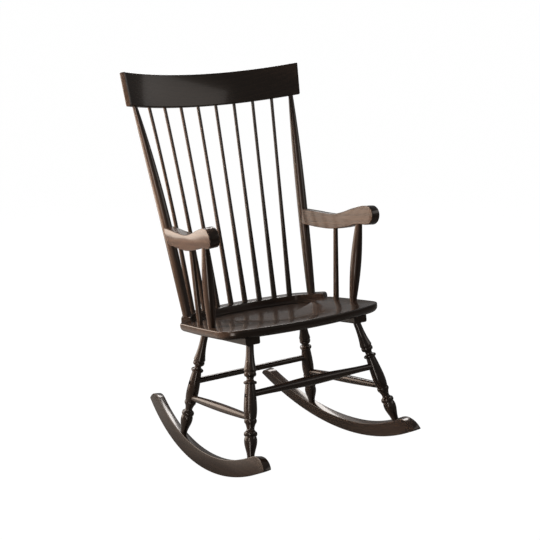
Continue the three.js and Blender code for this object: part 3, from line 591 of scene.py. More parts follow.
def seat_outline():
    """Plan of the seat: bowed front, eased corners, bowed sides, a back that follows the rail."""
    seat, back = seat_sizes(), back_sizes()
    corner_x = seat.width / 2
    front = -seat.ahead

    def bow_y(x):
        return front + seat.front_bow - math.sqrt(seat.front_bow**2 - x**2)

    def curve(a, b, c, steps, first=0):
        turns = [k / steps for k in range(first, steps + 1)]
        return [a * (1 - t) ** 2 + b * (2 * t * (1 - t)) + c * t**2 for t in turns]

    corner = Vector((corner_x, bow_y(corner_x)))
    margin = back.rail_depth / 2 + back.rail_margin
    rear = rail_plan(rail_half_length(), margin)
    rear.x = min(rear.x, seat.rear_width / 2)
    bow_end = corner_x - seat.corner
    front_steps, corner_steps, side_steps, back_steps = 34, 10, 24, 60
    half = [Vector((x, bow_y(x))) for x in (bow_end * k / front_steps for k in range(front_steps))]
    up = corner.lerp(rear, seat.corner / (rear - corner).length)
    half += curve(Vector((bow_end, bow_y(bow_end))), corner, up, corner_steps)
    mid = up.lerp(rear, 0.5)
    mid.x += 2 * seat.side_bow
    half += curve(up, mid, rear, side_steps, 1)
    whole = rail_half_length()
    half += [rail_plan(whole * (1 - k / back_steps), margin) for k in range(1, back_steps + 1)]
    return half + [Vector((-p.x, p.y)) for p in reversed(half[1:-1])]


def saddle_edge():
    """Plan of the hollow's edge: an oval front, a flare to the rail's ends, the rail's face."""
    seat, back = seat_sizes(), back_sizes()
    front = -seat.ahead + seat.saddle_border
    half = []
    oval_steps, flare_steps, back_steps = 60, 24, 80
    for k in range(oval_steps):
        lean = math.pi / 2 * k / oval_steps
        y = seat.saddle_middle - (seat.saddle_middle - front) * math.cos(lean)
        half.append(Vector((seat.saddle_width / 2 * math.sin(lean), y)))
    whole = rail_half_length()
    a = Vector((seat.saddle_width / 2, seat.saddle_middle))
    c = rail_plan(whole, -back.rail_depth / 2)
    b = Vector((seat.saddle_width / 2, (seat.saddle_middle + c.y) / 2))
    for k in range(flare_steps + 1):
        t = k / flare_steps
        half.append(a * (1 - t) ** 2 + b * (2 * t * (1 - t)) + c * t**2)
    for k in range(1, back_steps + 1):
        half.append(rail_plan(whole * (1 - k / back_steps), -back.rail_depth / 2))
    return half + [Vector((-p.x, p.y)) for p in reversed(half[1:-1])]


def cross(a, b):
    return a.x * b.y - a.y * b.x


def crossing(line, towards):
    """Where the ray from the middle towards a point crosses a closed line."""
    for a, b in zip(line, line[1:] + line[:1]):
        side = b - a
        area = cross(towards, side)
        if area == 0:
            continue
        reach = cross(a, side) / area
        if reach > 0 and -1e-9 <= cross(a, towards) / area <= 1 + 1e-9:
            return towards * reach
    raise RuntimeError("the ray misses the hollow's edge")


def inset(outline, distance):
    points = []
    for k, p in enumerate(outline):
        way = (outline[(k + 1) % len(outline)] - outline[k - 1]).normalized()
        points.append(Vector((p.x - way.y * distance, p.y + way.x * distance)))
    return points


def seat_rings():
    seat = seat_sizes()
    outline = seat_outline()
    rings = []
    lower_steps, rim_steps, wall_steps, floor_steps = 9, 5, 16, 7
    for k in range(lower_steps + 1):
        lean = math.pi / 2 * k / lower_steps
        ring = inset(outline, seat.lower_round * (1 - math.sin(lean)))
        height = -seat.thickness + seat.lower_rise * (1 - math.cos(lean))
        rings.append([Vector((p.x, p.y, height)) for p in ring])
    for k in range(rim_steps + 1):
        lean = math.pi / 2 * k / rim_steps
        ring = inset(outline, seat.rim_round * (1 - math.cos(lean)))
        fall = seat.rim_round * (1 - math.sin(lean))
        rings.append([Vector((p.x, p.y, bed_height(p.y) - fall)) for p in ring])
    edge = saddle_edge()
    rim = [crossing(edge, p) for p in outline]
    end = rail_plan(rail_half_length()).y
    slopes = []
    for p in rim:
        back = between(0.0, 1.0, (p.y - seat.saddle_middle) / (end - seat.saddle_middle))
        slopes.append(seat.saddle_front + (seat.saddle_back - seat.saddle_front) * wave(back))
    for k in range(wall_steps + 1):
        t = k / wall_steps
        ring = []
        for p, slope in zip(rim, slopes):
            inner = p * (1 - slope * t / p.length)
            top = bed_height(p.y)
            fall = (-seat.saddle_depth - top) * slow_end(2)(t)
            ring.append(Vector((inner.x, inner.y, top + fall)))
        rings.append(ring)
    floor = rings[-1]
    for k in range(1, floor_steps):
        near = 1 - k / floor_steps
        rings.append([Vector((p.x * near, p.y * near, p.z)) for p in floor])
    return rings


def make_seat():
    piece = smoothed(lofted("carved_seat", seat_rings(), pole=True))
    cut_from(piece, 1, lambda co: Vector((co.y, co.z, co.x)))
    return in_wood(piece, "seat")


# Back

def make_rail():
    back = back_sizes()
    half = back.rail_depth / 2
    ease = 0.0025
    end_round = 0.009
    whole = rail_half_length()
    steps, end_steps = 110, 7
    inner = whole - end_round
    places = [(whole, 0.0)]
    for k in range(1, end_steps):
        lean = math.pi / 2 * k / end_steps
        places.append((whole - end_round * (1 - math.cos(lean)), k / end_steps))
    places += [(inner * (1 - 2 * k / steps), 1.0) for k in range(steps + 1)]
    places += [(-d, t) for d, t in reversed(places[:end_steps])]
    rings = []
    for distance, t in places:
        centre = rail_plan(distance)
        top = rail_front_top(centre.y) - end_round * (1 - math.sin(math.pi / 2 * t))
        rise = rail_rise(centre.y)

        def corner(out, height=None):
            p = rail_plan(distance, out)
            return Vector((p.x, p.y, bed_height(p.y) + 0.0003 if height is None else height))

        section = [corner(-half), corner(-half, top), corner(half, top + rise), corner(half)]
        rings.append(rounded(section, [0, ease, ease, 0]))
    piece = smoothed(lofted("bent_back_rail", rings))
    cut_from(piece, 2, lambda co: Vector((co.z, co.y, co.x)))
    return in_wood(piece, "back_rail")


def crest_angles():
    """Angles of a post and of the crest's end, along its bow."""
    back = back_sizes()
    post = 4.5 * back.crest_pitch / back.crest_bow
    return post, post + back.crest_overhang / back.crest_bow


def crest_place():
    back = back_sizes()
    rail = rail_front_top(rail_middle()) + back.rail_top_rise / 2
    y = rail_middle() + back.length * math.sin(back.rake)
    z = rail + back.length * math.cos(back.rake)
    return Matrix.Translation((0, y, z)) @ Matrix.Rotation(-back.rake, 4, "X")


def crest_foot(angle):
    """Point on the crest's bottom edge, at a signed angle along its bow."""
    back = back_sizes()
    reach = angle / crest_angles()[1]
    y = back.crest_bow * math.cos(angle) - back.crest_bow
    return crest_place() @ Vector((back.crest_bow * math.sin(angle), y, back.crest_arch * reach**2))


def make_crest():
    back = back_sizes()
    half = back.crest_thickness / 2
    ease = 0.003
    end_ease = 0.002
    _, end = crest_angles()
    steps = 96
    rings = []
    inner = 1 - end_ease / (end * back.crest_bow)
    places = [(1.0, end_ease), (1 - 0.3 * (1 - inner), 0.3 * end_ease)]
    places += [(inner * (1 - 2 * k / steps), 0.0) for k in range(steps + 1)]
    places += [(-p, e) for p, e in reversed(places[:2])]
    for place, less in places:
        bottom = back.crest_arch * place**2 + less
        top = back.crest_height + back.crest_crown * place**2 - less

        def corner(out, height):
            flare = back.crest_flare / back.crest_bow * height / back.crest_height
            angle = place * (end + flare)
            reach = back.crest_bow + out
            across, along = reach * math.sin(angle), reach * math.cos(angle) - back.crest_bow
            return Vector((across, along, height))

        near = half - less
        section = [
            corner(-near, bottom), corner(-near, top), corner(near, top), corner(near, bottom)
        ]
        rings.append(rounded(section, [ease] * 4))
    piece = smoothed(lofted("bent_crest_rail", rings))
    bow = back.crest_bow
    cut_from(piece, 3, lambda co: Vector((co.y, co.z, bow * math.atan2(co.x, co.y + bow))))
    piece.data.transform(crest_place())
    return in_wood(piece, "crest_rail")


SPINDLE_COUNT = 8


def spindle_table():
    back = back_sizes()
    thin = back.spindle_top / back.spindle_foot
    return [[0, 1], [0.72, thin, 8, slow_end(1.4)], [1, thin, 2]]


POST_TABLE = [[0, 0.8], [0.34, 0.97, 4, slow_end(2)], [1, 0.46, 8, slow_start(2.6)]]


def make_back_sticks():
    back = back_sizes()
    for i in range(SPINDLE_COUNT):
        place = i - (SPINDLE_COUNT - 1) / 2
        start = rail_top(place * back.spindle_pitch)
        end = crest_foot(place * back.crest_pitch / back.crest_bow)
        name = f"turned_back_spindle_{i + 1}"
        piece = stick(name, spindle_table(), back.spindle_foot, (end - start).length, 0.011, 0.020)
        cut_from(smoothed(piece), 4 + i)
        out = 2 * place / (SPINDLE_COUNT - 1)
        aside = Vector((-back.spindle_inwards * out, -back.spindle_ahead * abs(out) ** 3, 0))
        in_wood(stood(piece, start, end, aside), f"back_spindle_{i + 1}")
    for side, way in SIDES.items():
        start, end, aside = post_line(way)
        length = (end - start).length
        name = f"turned_back_post_{side}"
        piece = stick(name, POST_TABLE, back.post_diameter, length, 0.008, 0.008,
                      lower=(0.0065, 0.013), upper=(0.005, 0.020))
        cut_from(smoothed(piece), 14 + way)
        in_wood(stood(piece, start, end, aside), f"back_post_{side}")


def post_line(way):
    """Foot and top of a back post, and how far its middle stands aside."""
    back = back_sizes()
    start = rail_top(way * (rail_half_length() - back.post_from_end))
    end = crest_foot(way * crest_angles()[0])
    return start, end, Vector((-way * back.post_inwards, -back.post_ahead, 0))


def line_at(line, height):
    """Point on a bent stick's axis at a height."""
    start, end, aside = line
    reach = (height - start.z) / (end.z - start.z)
    return start.lerp(end, reach) + aside * bow_at(reach)


# Arms

ARM_TOP = [[0.083, 1], [0.15, 0.99], [0.28, 0.883], [0.411, 0.736], [0.537, 0.662],
           [0.69, 0.72], [0.81, 0.795], [1, 0.9]]
ARM_BOTTOM = [[1, 0.22], [0.86, 0.12], [0.72, 0.043], [0.567, 0], [0.41, 0.052],
              [0.32, 0.11], [0.24, 0.185], [0.17, 0.2], [0.11, 0.177]]


def spline(points, steps):
    """A smooth curve through points."""
    curve = []
    last = len(points) - 1
    for k in range(steps + 1):
        at = last * k / steps
        i = min(int(at), last - 1)
        t = at - i
        p0, p1, p2 = points[max(i - 1, 0)], points[i], points[i + 1]
        p3 = points[min(i + 2, last)]
        v0, v1 = (p2 - p0) * 0.5, (p3 - p1) * 0.5
        cubic, square = p1 * 2 - p2 * 2 + v0 + v1, p2 * 3 - p1 * 3 - v0 * 2 - v1
        curve.append(cubic * t**3 + square * t**2 + v0 * t + p1)
    return curve


def arm_nose_y(way):
    arm = arm_sizes()
    return line_at(post_line(way), arm.height + arm.depth / 2).y - arm.end_gap - arm.length


def arm_outline(nose):
    arm = arm_sizes()

    def placed(table):
        return [Vector((nose + along * arm.length, up * arm.depth)) for along, up in table]

    points = spline(placed(ARM_BOTTOM), 64)
    centre = Vector((nose + arm.nose, arm.depth - arm.nose))
    steps = 30
    for k in range(1, steps):
        lean = math.pi * k / steps
        points.append(centre + Vector((-math.sin(lean), -math.cos(lean))) * arm.nose)
    return points + spline(placed(ARM_TOP), 64)


def board(name, outline, thickness, ease, segments=3, angle=35):
    """A board on edge: a face sawn to an outline in the Y-Z plane, drawn out to its thickness."""
    near = [Vector((-thickness / 2, p.x, p.y)) for p in outline]
    far = [Vector((thickness / 2, p.x, p.y)) for p in outline]
    return eased(lofted(name, [near, far]), ease, segments, angle)


def make_arms():
    arm = arm_sizes()
    nose = arm_nose_y(1)
    piece = board("sawn_arm_left", arm_outline(nose), arm.thickness, 0.0025, 4)
    smoothed(piece)
    cut_from(piece, 18, lambda co: Vector((co.x, co.z, co.y)))
    x = arm.half_width + arm.height * math.tan(arm.lean)
    place = Matrix.Translation((x, 0, arm.height))
    place = place @ Matrix.Rotation(arm.toe, 4, "Z") @ Matrix.Rotation(arm.lean, 4, "Y")
    piece.data.transform(place)
    twin = mirrored(piece, "sawn_arm_right")
    in_wood(piece, "arm_left")
    in_wood(twin, "arm_right")


def arm_support_top(way, probe):
    """Where a support of the arm meets its underside, at a place along it."""
    arm = arm_sizes()
    along = (probe - arm_nose_y(way)) / arm.length
    up = ARM_BOTTOM[0][1]
    for (s0, u0), (s1, u1) in zip(ARM_BOTTOM, ARM_BOTTOM[1:]):
        if s1 <= along <= s0:
            up = u0 + (u1 - u0) * (along - s0) / (s1 - s0)
    z = arm.height + up * arm.depth
    x = arm.half_width - probe * math.tan(arm.toe) + z * math.tan(arm.lean)
    return Vector((way * x, probe, z))


ARM_POST_TABLE = [[0, 0.65], [1, 0.63, 14, even, 0.36, swelling]]
ARM_SPINDLE_TABLE = [[0, 1], [1, 0.8]]


def make_arm_supports():
    arm, front = arm_sizes(), -seat_sizes().ahead
    for side, way in SIDES.items():
        y = front + arm.post_from_front
        start = Vector((way * arm.post_foot, y, 0))
        end = arm_support_top(way, y - arm.post_forward)
        tenon = (0.007, 0.017)
        piece = stick(f"turned_arm_post_{side}", ARM_POST_TABLE, arm.post_diameter,
                      (end - start).length, 0.006, 0.008, lower=tenon, upper=tenon)
        cut_from(smoothed(piece), 21 + way)
        in_wood(stood(piece, start, end), f"arm_post_{side}")
        y = front + arm.spindle_from_front
        start = Vector((way * arm.spindle_foot, y, 0))
        end = arm_support_top(way, y - arm.spindle_forward)
        piece = stick(f"turned_arm_spindle_{side}", ARM_SPINDLE_TABLE, arm.spindle_diameter,
                      (end - start).length, 0.016, 0.016)
        cut_from(smoothed(piece), 24 + way)
        in_wood(stood(piece, start, end), f"arm_spindle_{side}")


# Sides: legs, stretchers and rockers

def side_point(way, y, z):
    """A point of the leaning plane that a side's legs, rocker and stretcher share."""
    side = side_sizes()
    x = side.half - y * math.tan(side.toe) - z * math.tan(side.lean)
    return Vector((way * x, y, z))


def rocker_centre():
    seat, side = seat_sizes(), side_sizes()
    return Vector((-seat.ahead + side.rocker_centre, side.rocker_radius - side.rocker_drop))


def rocker_ends():
    """Angles of the arc at the nose and the tail."""
    side = side_sizes()
    nose = REST_LEAN - side.rocker_ahead * side.rocker_facet
    return nose, REST_LEAN + side.rocker_behind * side.rocker_facet


def rocker_height_at(angle):
    side = side_sizes()
    deep = between(0.0, 1.0, 1 - (angle - rocker_ends()[0]) / side.rocker_nose_run)
    return side.rocker_height + side.rocker_nose_gain * wave(deep)


def rocker_point(angle, height):
    reach = side_sizes().rocker_radius - height
    return rocker_centre() + Vector((reach * math.sin(angle), -reach * math.cos(angle)))


def rocker_outline():
    side = side_sizes()
    nose, tail = rocker_ends()
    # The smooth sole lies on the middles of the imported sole's flats.
    sole = side.rocker_radius * (1 - math.cos(side.rocker_facet / 2))
    points = [rocker_point(nose + (tail - nose) * k / 150, sole) for k in range(151)]
    tail_arc = side.rocker_tail_round / side.rocker_radius
    nose_arc = side.rocker_nose_round / side.rocker_radius
    steps = 24
    for k in range(2, steps + 1):
        lean = math.pi / 2 * k / steps
        angle = tail - tail_arc * (1 - math.cos(lean))
        points.append(rocker_point(angle, rocker_height_at(angle) * math.sin(lean)))
    top_from, top_to = tail - tail_arc, nose + nose_arc
    for k in range(1, 130):
        angle = top_from + (top_to - top_from) * k / 130
        points.append(rocker_point(angle, rocker_height_at(angle)))
    for k in range(steps, 1, -1):
        lean = math.pi / 2 * k / steps
        angle = nose + nose_arc * (1 - math.cos(lean))
        points.append(rocker_point(angle, rocker_height_at(angle) * math.sin(lean)))
    return points


def make_rockers():
    side = side_sizes()
    piece = board("sawn_rocker_left", rocker_outline(), side.rocker_thickness, 0.0016, 3, 30)
    centre = rocker_centre()

    def leaned(co):
        # The sole is planed level, the top edge is square to the leaning board.
        reach = math.hypot(co.y - centre.x, co.z - centre.y)
        high = min((side.rocker_radius - reach) / side.rocker_height, 1)
        z = co.z + co.x * math.tan(side.lean) * high
        x = co.x + side.half - co.y * math.tan(side.toe) - z * math.tan(side.lean)
        return Vector((x, co.y, z))

    cut_from(piece, 27, lambda co: Vector((co.x, co.z, co.y)))
    smoothed(reshaped(piece, leaned))
    twin = mirrored(piece, "sawn_rocker_right")
    in_wood(piece, "rocker_left")
    in_wood(twin, "rocker_right")


LEG_TABLE = [
    [0, 0.545],
    [0.147, 0.975, 5, wave],
    [0.187, 0.83, 3, slow_start(2)],
    [0.228, 0.8, 4, even, 0.19],
    [0.25, 0.574, 3, slow_end(1.6)],
    [0.3, 0.8, 3, slow_start(1.6)],
    [0.336, 0.84, 4, even, 0.12],
    [0.434, 1, 4, slow_end(2.4)],
    [0.643, 0.73, 4, slow_start(1.5)],
    [0.673, 0.73, 4, even, 0.27],
    [0.713, 0.77, 4, even, -0.22],
    [0.749, 0.82, 4, even, 0.13],
    [0.767, 0.955, 1],
    [1, 0.58, 5, slow_end(2.4)],
]


def leg_line(way, place):
    """Foot and top of a leg: its line meets the rocker's top edge and the cleat."""
    seat, side = seat_sizes(), side_sizes()
    if place == "front":
        top_y, rake = -seat.ahead + side.front_from_front, -side.front_rake
    else:
        top_y, rake = seat.depth - seat.ahead - side.rear_from_back, side.rear_rake
    cleat = -seat.thickness - 0.0003 - side.cleat_height
    slope = math.tan(rake)
    centre = rocker_centre()
    y0, z0 = top_y - centre.x, cleat - centre.y
    a, b, drop = 1 + slope**2, y0 * slope - z0, 0.0
    for _ in range(5):
        angle = math.atan2(y0 + drop * slope, drop - z0)
        c = y0**2 + z0**2 - (side.rocker_radius - rocker_height_at(angle)) ** 2
        drop = (-b + math.sqrt(b**2 - a * c)) / a
    foot = side_point(way, top_y + drop * slope, cleat - drop)
    return foot, side_point(way, top_y, cleat)


def leg_at(line, drop):
    foot, top = line
    return foot.lerp(top, (-drop - foot.z) / (top.z - foot.z))


BOLT = {"head": 0.010, "shank": 0.005, "length": 0.045, "recess": 0.004}


def stretcher_bolt_place(place, way):
    side = side_sizes()
    drop = side.front_drop if place == "front" else side.rear_drop
    at = leg_at(leg_line(way, place), drop)
    at.x += way * (side.leg_diameter / 2 - BOLT["recess"])
    return at, Vector((0, at.y, at.z))


def make_legs():
    side = side_sizes()
    for place, board_number in (("front", 30), ("rear", 33)):
        for name, way in SIDES.items():
            foot, top = leg_line(way, place)
            piece = stick(f"turned_leg_{place}_{name}", LEG_TABLE, side.leg_diameter,
                          (top - foot).length, 0.008, 0.006, turned=side.leg_length,
                          lower=(0.0065, 0.025), upper=(0.008, 0.016))
            cut_from(piece, board_number + way)
            stood(piece, foot, top)
            at, inwards = stretcher_bolt_place(place, way)
            bored(piece, [drill(at, inwards, BOLT["head"] / 2 + 0.0003)])
            in_wood(smoothed(piece), f"leg_{place}_{name}")


def drill(at, towards, radius):
    """A bar from a point outwards, away from where it points."""
    depth = 0.03
    nothing_selected()
    bpy.ops.mesh.primitive_cylinder_add(vertices=32, radius=radius, depth=depth)
    piece = bpy.context.object
    out = (at - towards).normalized()
    turn = Vector((0, 0, 1)).rotation_difference(out).to_matrix().to_4x4()
    piece.data.transform(Matrix.Translation(at + out * depth / 2) @ turn)
    return piece


def swelled(diameter, end_diameter, rise, fall):
    end = end_diameter / diameter
    return [[0, end], [0.05, end], [0.5, 1, 8, rise], [0.95, end, 8, fall], [1, end]]


def make_stretcher(name, number, lines, drop, table, diameter):
    side = side_sizes()
    start, end = (leg_at(line, drop) for line in lines)
    way = (end - start).normalized()
    reach = side.leg_diameter / 2 - side.stretcher_depth
    start, end = start + way * reach, end - way * reach
    piece = stick(f"turned_stretcher_{name}", table, diameter, (end - start).length, 0.0, 0.0)
    cut_from(smoothed(piece), number)
    in_wood(stood(piece, start, end), f"stretcher_{name}")


def make_stretchers():
    side = side_sizes()
    rise, fall = slow_end(1.8), slow_start(1.8)
    for number, (name, way) in enumerate(SIDES.items()):
        table = swelled(side.side_diameter, side.side_end_diameter, rise, fall)
        lines = leg_line(way, "front"), leg_line(way, "rear")
        make_stretcher(name, 36 + number, lines, side.side_drop, table, side.side_diameter)
    crossways = (
        ("front", side.front_drop, side.front_diameter),
        ("rear", side.rear_drop, side.rear_diameter),
    )
    for number, (name, drop, diameter) in enumerate(crossways):
        table = swelled(diameter, side.end_diameter, wave, wave)
        lines = leg_line(1, name), leg_line(-1, name)
        make_stretcher(name, 39 + number, lines, drop, table, diameter)


# Fasteners

RAIL_SCREW = {"head": 0.011, "shank": 0.0045, "length": 0.030, "recess": 0.001}
RAIL_SCREW_FROM_POST = 0.046
ARM_SCREW = {"head": 0.009, "shank": 0.0045, "length": 0.055, "recess": 0.0015}
HEAD_SHARE = 0.36  # a head's thickness to its diameter
HEAD_EASE = 0.0006
SOCKET_SHARE = 0.45  # a hexagon socket to its head


def make_fastener(node, kind, at, towards):
    """A screw or bolt: the head's rim is at its place, and the shank runs on."""
    thick = kind["head"] * HEAD_SHARE
    r, s, length = kind["head"] / 2, kind["shank"] / 2, kind["length"]
    ease = HEAD_EASE
    outline = [(0, 0), (r - ease, 0), (r - ease * 0.3, ease * 0.3), (r, ease)]
    outline += [(r, thick), (s, thick), (s, length - s), (0, length)]
    piece = spun(f"round_{node}", outline, 32)
    nothing_selected()
    bpy.ops.mesh.primitive_cylinder_add(vertices=6, radius=r * SOCKET_SHARE, depth=thick)
    hexagon = bpy.context.object
    bored(piece, [hexagon])
    stood(smoothed(piece), at, towards)
    return in_steel(piece, node)


def make_fasteners():
    back, arm = back_sizes(), arm_sizes()
    for place in ("front", "rear"):
        for side, way in SIDES.items():
            at, inwards = stretcher_bolt_place(place, way)
            make_fastener(f"stretcher_bolt_{place}_{side}", BOLT, at, inwards)
    for i, place in enumerate((0, 1, -1)):
        reach = rail_half_length() - back.post_from_end - RAIL_SCREW_FROM_POST
        at = rail_top(place * reach)
        at.z -= RAIL_SCREW["recess"]
        down = Vector((at.x, at.y, -seat_sizes().thickness))
        make_fastener(f"rail_screw_{i + 1}", RAIL_SCREW, at, down)
    for side, way in SIDES.items():
        at = line_at(post_line(way), arm.height + arm.depth / 2)
        at.y += back.post_diameter / 2 - ARM_SCREW["recess"]
        ahead = at + Vector((way * arm.length * math.tan(arm.toe), -arm.length, 0))
        make_fastener(f"arm_screw_{side}", ARM_SCREW, at, ahead)


# Finishes

# How much the edges and beads are paled: partly wear, partly a painted highlight.
WEAR_AND_HIGHLIGHT_AMOUNT = 0.10
BUMP = {"Strength": 0.003, "Distance": 0.0003}
LACQUER_IOR = 1.5


def node_group(name, inputs, outputs):
    """A new shader node group with named inputs and outputs."""
    group = bpy.data.node_groups.new(name, "ShaderNodeTree")
    for label, kind, value in inputs:
        socket = group.interface.new_socket(label, in_out="INPUT", socket_type=kind)
        if value is not None:
            socket.default_value = value
    for label, kind in outputs:
        group.interface.new_socket(label, in_out="OUTPUT", socket_type=kind)
    return group, group.nodes.new("NodeGroupInput"), group.nodes.new("NodeGroupOutput")


def node(tree, kind, settings=None, **links):
    """Adds a node. A link named for an input joins it to an output, or sets its value."""
    made = tree.nodes.new(kind)
    for key, value in (settings or {}).items():
        setattr(made, key, value)
    for key, value in links.items():
        socket = made.inputs[int(key[1:])] if key[0] == "_" else made.inputs[key.replace("_", " ")]
        if isinstance(value, bpy.types.NodeSocket):
            tree.links.new(value, socket)
        else:
            socket.default_value = value
    return made


def maths(tree, operation, a, b=0.0, clamp=False):
    settings = {"operation": operation, "use_clamp": clamp}
    return node(tree, "ShaderNodeMath", settings, _0=a, _1=b).outputs[0]


def ramp(tree, value, low, high):
    """Smooth step from 0 at low to 1 at high."""
    made = node(tree, "ShaderNodeMapRange", {"interpolation_type": "SMOOTHSTEP"}, Value=value)
    made.inputs["From Min"].default_value = low
    made.inputs["From Max"].default_value = high
    return made.outputs["Result"]


def stretched(tree, place, across, along):
    """A place in the wood with its own scale across the grain and along it."""
    scale = (across, across, along)
    return node(tree, "ShaderNodeMapping", None, Vector=place, Scale=scale).outputs[0]


def mixed(tree, factor, a, b):
    made = tree.nodes.new("ShaderNodeMix")
    made.data_type = "RGBA"
    for socket, value in zip((made.inputs[0], made.inputs[6], made.inputs[7]), (factor, a, b)):
        if isinstance(value, bpy.types.NodeSocket):
            tree.links.new(value, socket)
        else:
            socket.default_value = value
    return made.outputs[2]


def noise(tree, vector, detail=3.0, rough=0.55):
    made = node(tree, "ShaderNodeTexNoise", {"noise_dimensions": "3D"}, Vector=vector, Scale=1.0)
    made.inputs["Detail"].default_value = detail
    made.inputs["Roughness"].default_value = rough
    return made.outputs["Fac"]


def grain_group():
    """Grain of the stained wood: figure, fibres and pores along the Z axis of a place."""
    group, start, end = node_group(
        "wood_grain",
        [
            ("Place", "NodeSocketVector", None),
            ("Stain", "NodeSocketColor", None),
            ("Thin Stain", "NodeSocketColor", None),
            ("Pores", "NodeSocketColor", None),
            ("Grain", "NodeSocketFloat", 0.5),
            ("Sheen", "NodeSocketFloat", 0.3),
        ],
        [
            ("Color", "NodeSocketColor"),
            ("Roughness", "NodeSocketFloat"),
            ("Height", "NodeSocketFloat"),
        ],
    )
    place = start.outputs["Place"]
    rings = node(
        group,
        "ShaderNodeTexWave",
        {"wave_type": "RINGS", "rings_direction": "Z", "wave_profile": "SAW"},
        Vector=stretched(group, place, 22, 1.6),
        Scale=1.0,
        Distortion=2.4,
        Detail=3.0,
    )
    rings.inputs["Detail Scale"].default_value = 1.4
    fibre = noise(group, stretched(group, place, 900, 22), 4.0, 0.6)
    streak = noise(group, stretched(group, place, 120, 3.5), 3.0)
    cloud = noise(group, stretched(group, place, 9, 4), 2.0)
    pore = ramp(group, noise(group, stretched(group, place, 2400, 90), 1.0), 0.62, 0.74)
    figure = maths(group, "MULTIPLY", rings.outputs["Fac"], 0.22)
    figure = maths(group, "ADD", figure, maths(group, "MULTIPLY", streak, 0.55))
    figure = maths(group, "ADD", figure, maths(group, "MULTIPLY", fibre, 0.35))
    figure = maths(group, "ADD", figure, maths(group, "MULTIPLY", cloud, 0.4))
    thin = maths(group, "MULTIPLY", ramp(group, figure, 0.55, 1.15), start.outputs["Grain"])
    colour = mixed(group, thin, start.outputs["Stain"], start.outputs["Thin Stain"])
    dark = maths(group, "MULTIPLY", pore, 0.35)
    colour = mixed(group, dark, colour, start.outputs["Pores"])
    group.links.new(colour, end.inputs["Color"])
    uneven = maths(group, "MULTIPLY", maths(group, "SUBTRACT", streak, 0.5), 0.05)
    uneven = maths(group, "ADD", uneven, maths(group, "MULTIPLY", pore, 0.02))
    rough = maths(group, "ADD", start.outputs["Sheen"], uneven, True)
    group.links.new(rough, end.inputs["Roughness"])
    height = maths(group, "MULTIPLY", fibre, 0.12)
    height = maths(group, "ADD", height, maths(group, "MULTIPLY", streak, 0.3))
    group.links.new(height, end.inputs["Height"])
    return group


def wear_and_highlight_group():
    """A mask of the edges and beads where hands and cloths thin the stain; the paler edges it gives
    are partly wear and partly a painted highlight.
    """
    group, start, end = node_group(
        "edge_wear_and_highlight",
        [("Place", "NodeSocketVector", None), ("Amount", "NodeSocketFloat", 0.5)],
        [("Mask", "NodeSocketFloat")],
    )
    geometry = group.nodes.new("ShaderNodeNewGeometry")
    edges = ramp(group, geometry.outputs["Pointiness"], 0.51, 0.58)
    cloud = noise(group, stretched(group, start.outputs["Place"], 14, 9), 2.0)
    patches = ramp(group, cloud, 0.30, 0.75)
    mask = maths(group, "MULTIPLY", edges, patches)
    mask = maths(group, "MULTIPLY", mask, start.outputs["Amount"])
    group.links.new(mask, end.inputs["Mask"])
    return group


def grouped(tree, name, make):
    """Places a node group in a material, making the group the first time."""
    group = bpy.data.node_groups.get(name) or make()
    made = tree.nodes.new("ShaderNodeGroup")
    made.node_tree = group
    return made


def new_material(name):
    material = bpy.data.materials.new(name)
    material.use_nodes = True
    tree = material.node_tree
    tree.nodes.clear()
    shader = tree.nodes.new("ShaderNodeBsdfPrincipled")
    output = tree.nodes.new("ShaderNodeOutputMaterial")
    tree.links.new(shader.outputs[0], output.inputs[0])
    return material, tree, shader


def opaque(colour):
    return (*colour, 1.0)


def wood_material(name, place_of):
    finish = bpy.context.scene.chair_finish
    material, tree, shader = new_material(name)
    place = place_of(tree)
    grain = grouped(tree, "wood_grain", grain_group)
    tree.links.new(place, grain.inputs["Place"])
    grain.inputs["Stain"].default_value = opaque(finish.stain)
    grain.inputs["Thin Stain"].default_value = opaque(finish.thin_stain_and_highlight)
    grain.inputs["Pores"].default_value = opaque(finish.stain_pores)
    grain.inputs["Grain"].default_value = finish.grain
    grain.inputs["Sheen"].default_value = finish.sheen
    wear_and_highlight = grouped(tree, "edge_wear_and_highlight", wear_and_highlight_group)
    tree.links.new(place, wear_and_highlight.inputs["Place"])
    wear_and_highlight.inputs["Amount"].default_value = WEAR_AND_HIGHLIGHT_AMOUNT
    # Paler stain on the edges and beads: partly wear, partly a painted highlight.
    colour = mixed(tree, wear_and_highlight.outputs["Mask"], grain.outputs["Color"], opaque(finish.thin_stain_and_highlight))
    tree.links.new(colour, shader.inputs["Base Color"])
    tree.links.new(grain.outputs["Roughness"], shader.inputs["Roughness"])
    bump = node(tree, "ShaderNodeBump", None, Height=grain.outputs["Height"], **BUMP)
    tree.links.new(bump.outputs[0], shader.inputs["Normal"])
    shader.inputs["IOR"].default_value = LACQUER_IOR
    shader.inputs["Specular Tint"].default_value = opaque(finish.lacquer)
    shader.inputs["Coat Weight"].default_value = finish.coat
    shader.inputs["Coat Roughness"].default_value = finish.coat_sheen
    return material


def wood_finish():
    """The espresso stain, its grain following each piece as it was cut from its board."""

    def place_of(tree):
        made = tree.nodes.new("ShaderNodeAttribute")
        made.attribute_name = WOOD_PLACE
        return made.outputs["Vector"]

    return bpy.data.materials.get("espresso_stain") or wood_material("espresso_stain", place_of)


def cleat_finish():
    """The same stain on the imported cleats, with the grain along them."""

    def place_of(tree):
        coordinates = tree.nodes.new("ShaderNodeTexCoord").outputs["Object"]
        turn = (math.pi / 2, 0, 0)
        return node(tree, "ShaderNodeMapping", None, Vector=coordinates, Rotation=turn).outputs[0]

    return wood_material("espresso_stain_cleats", place_of)


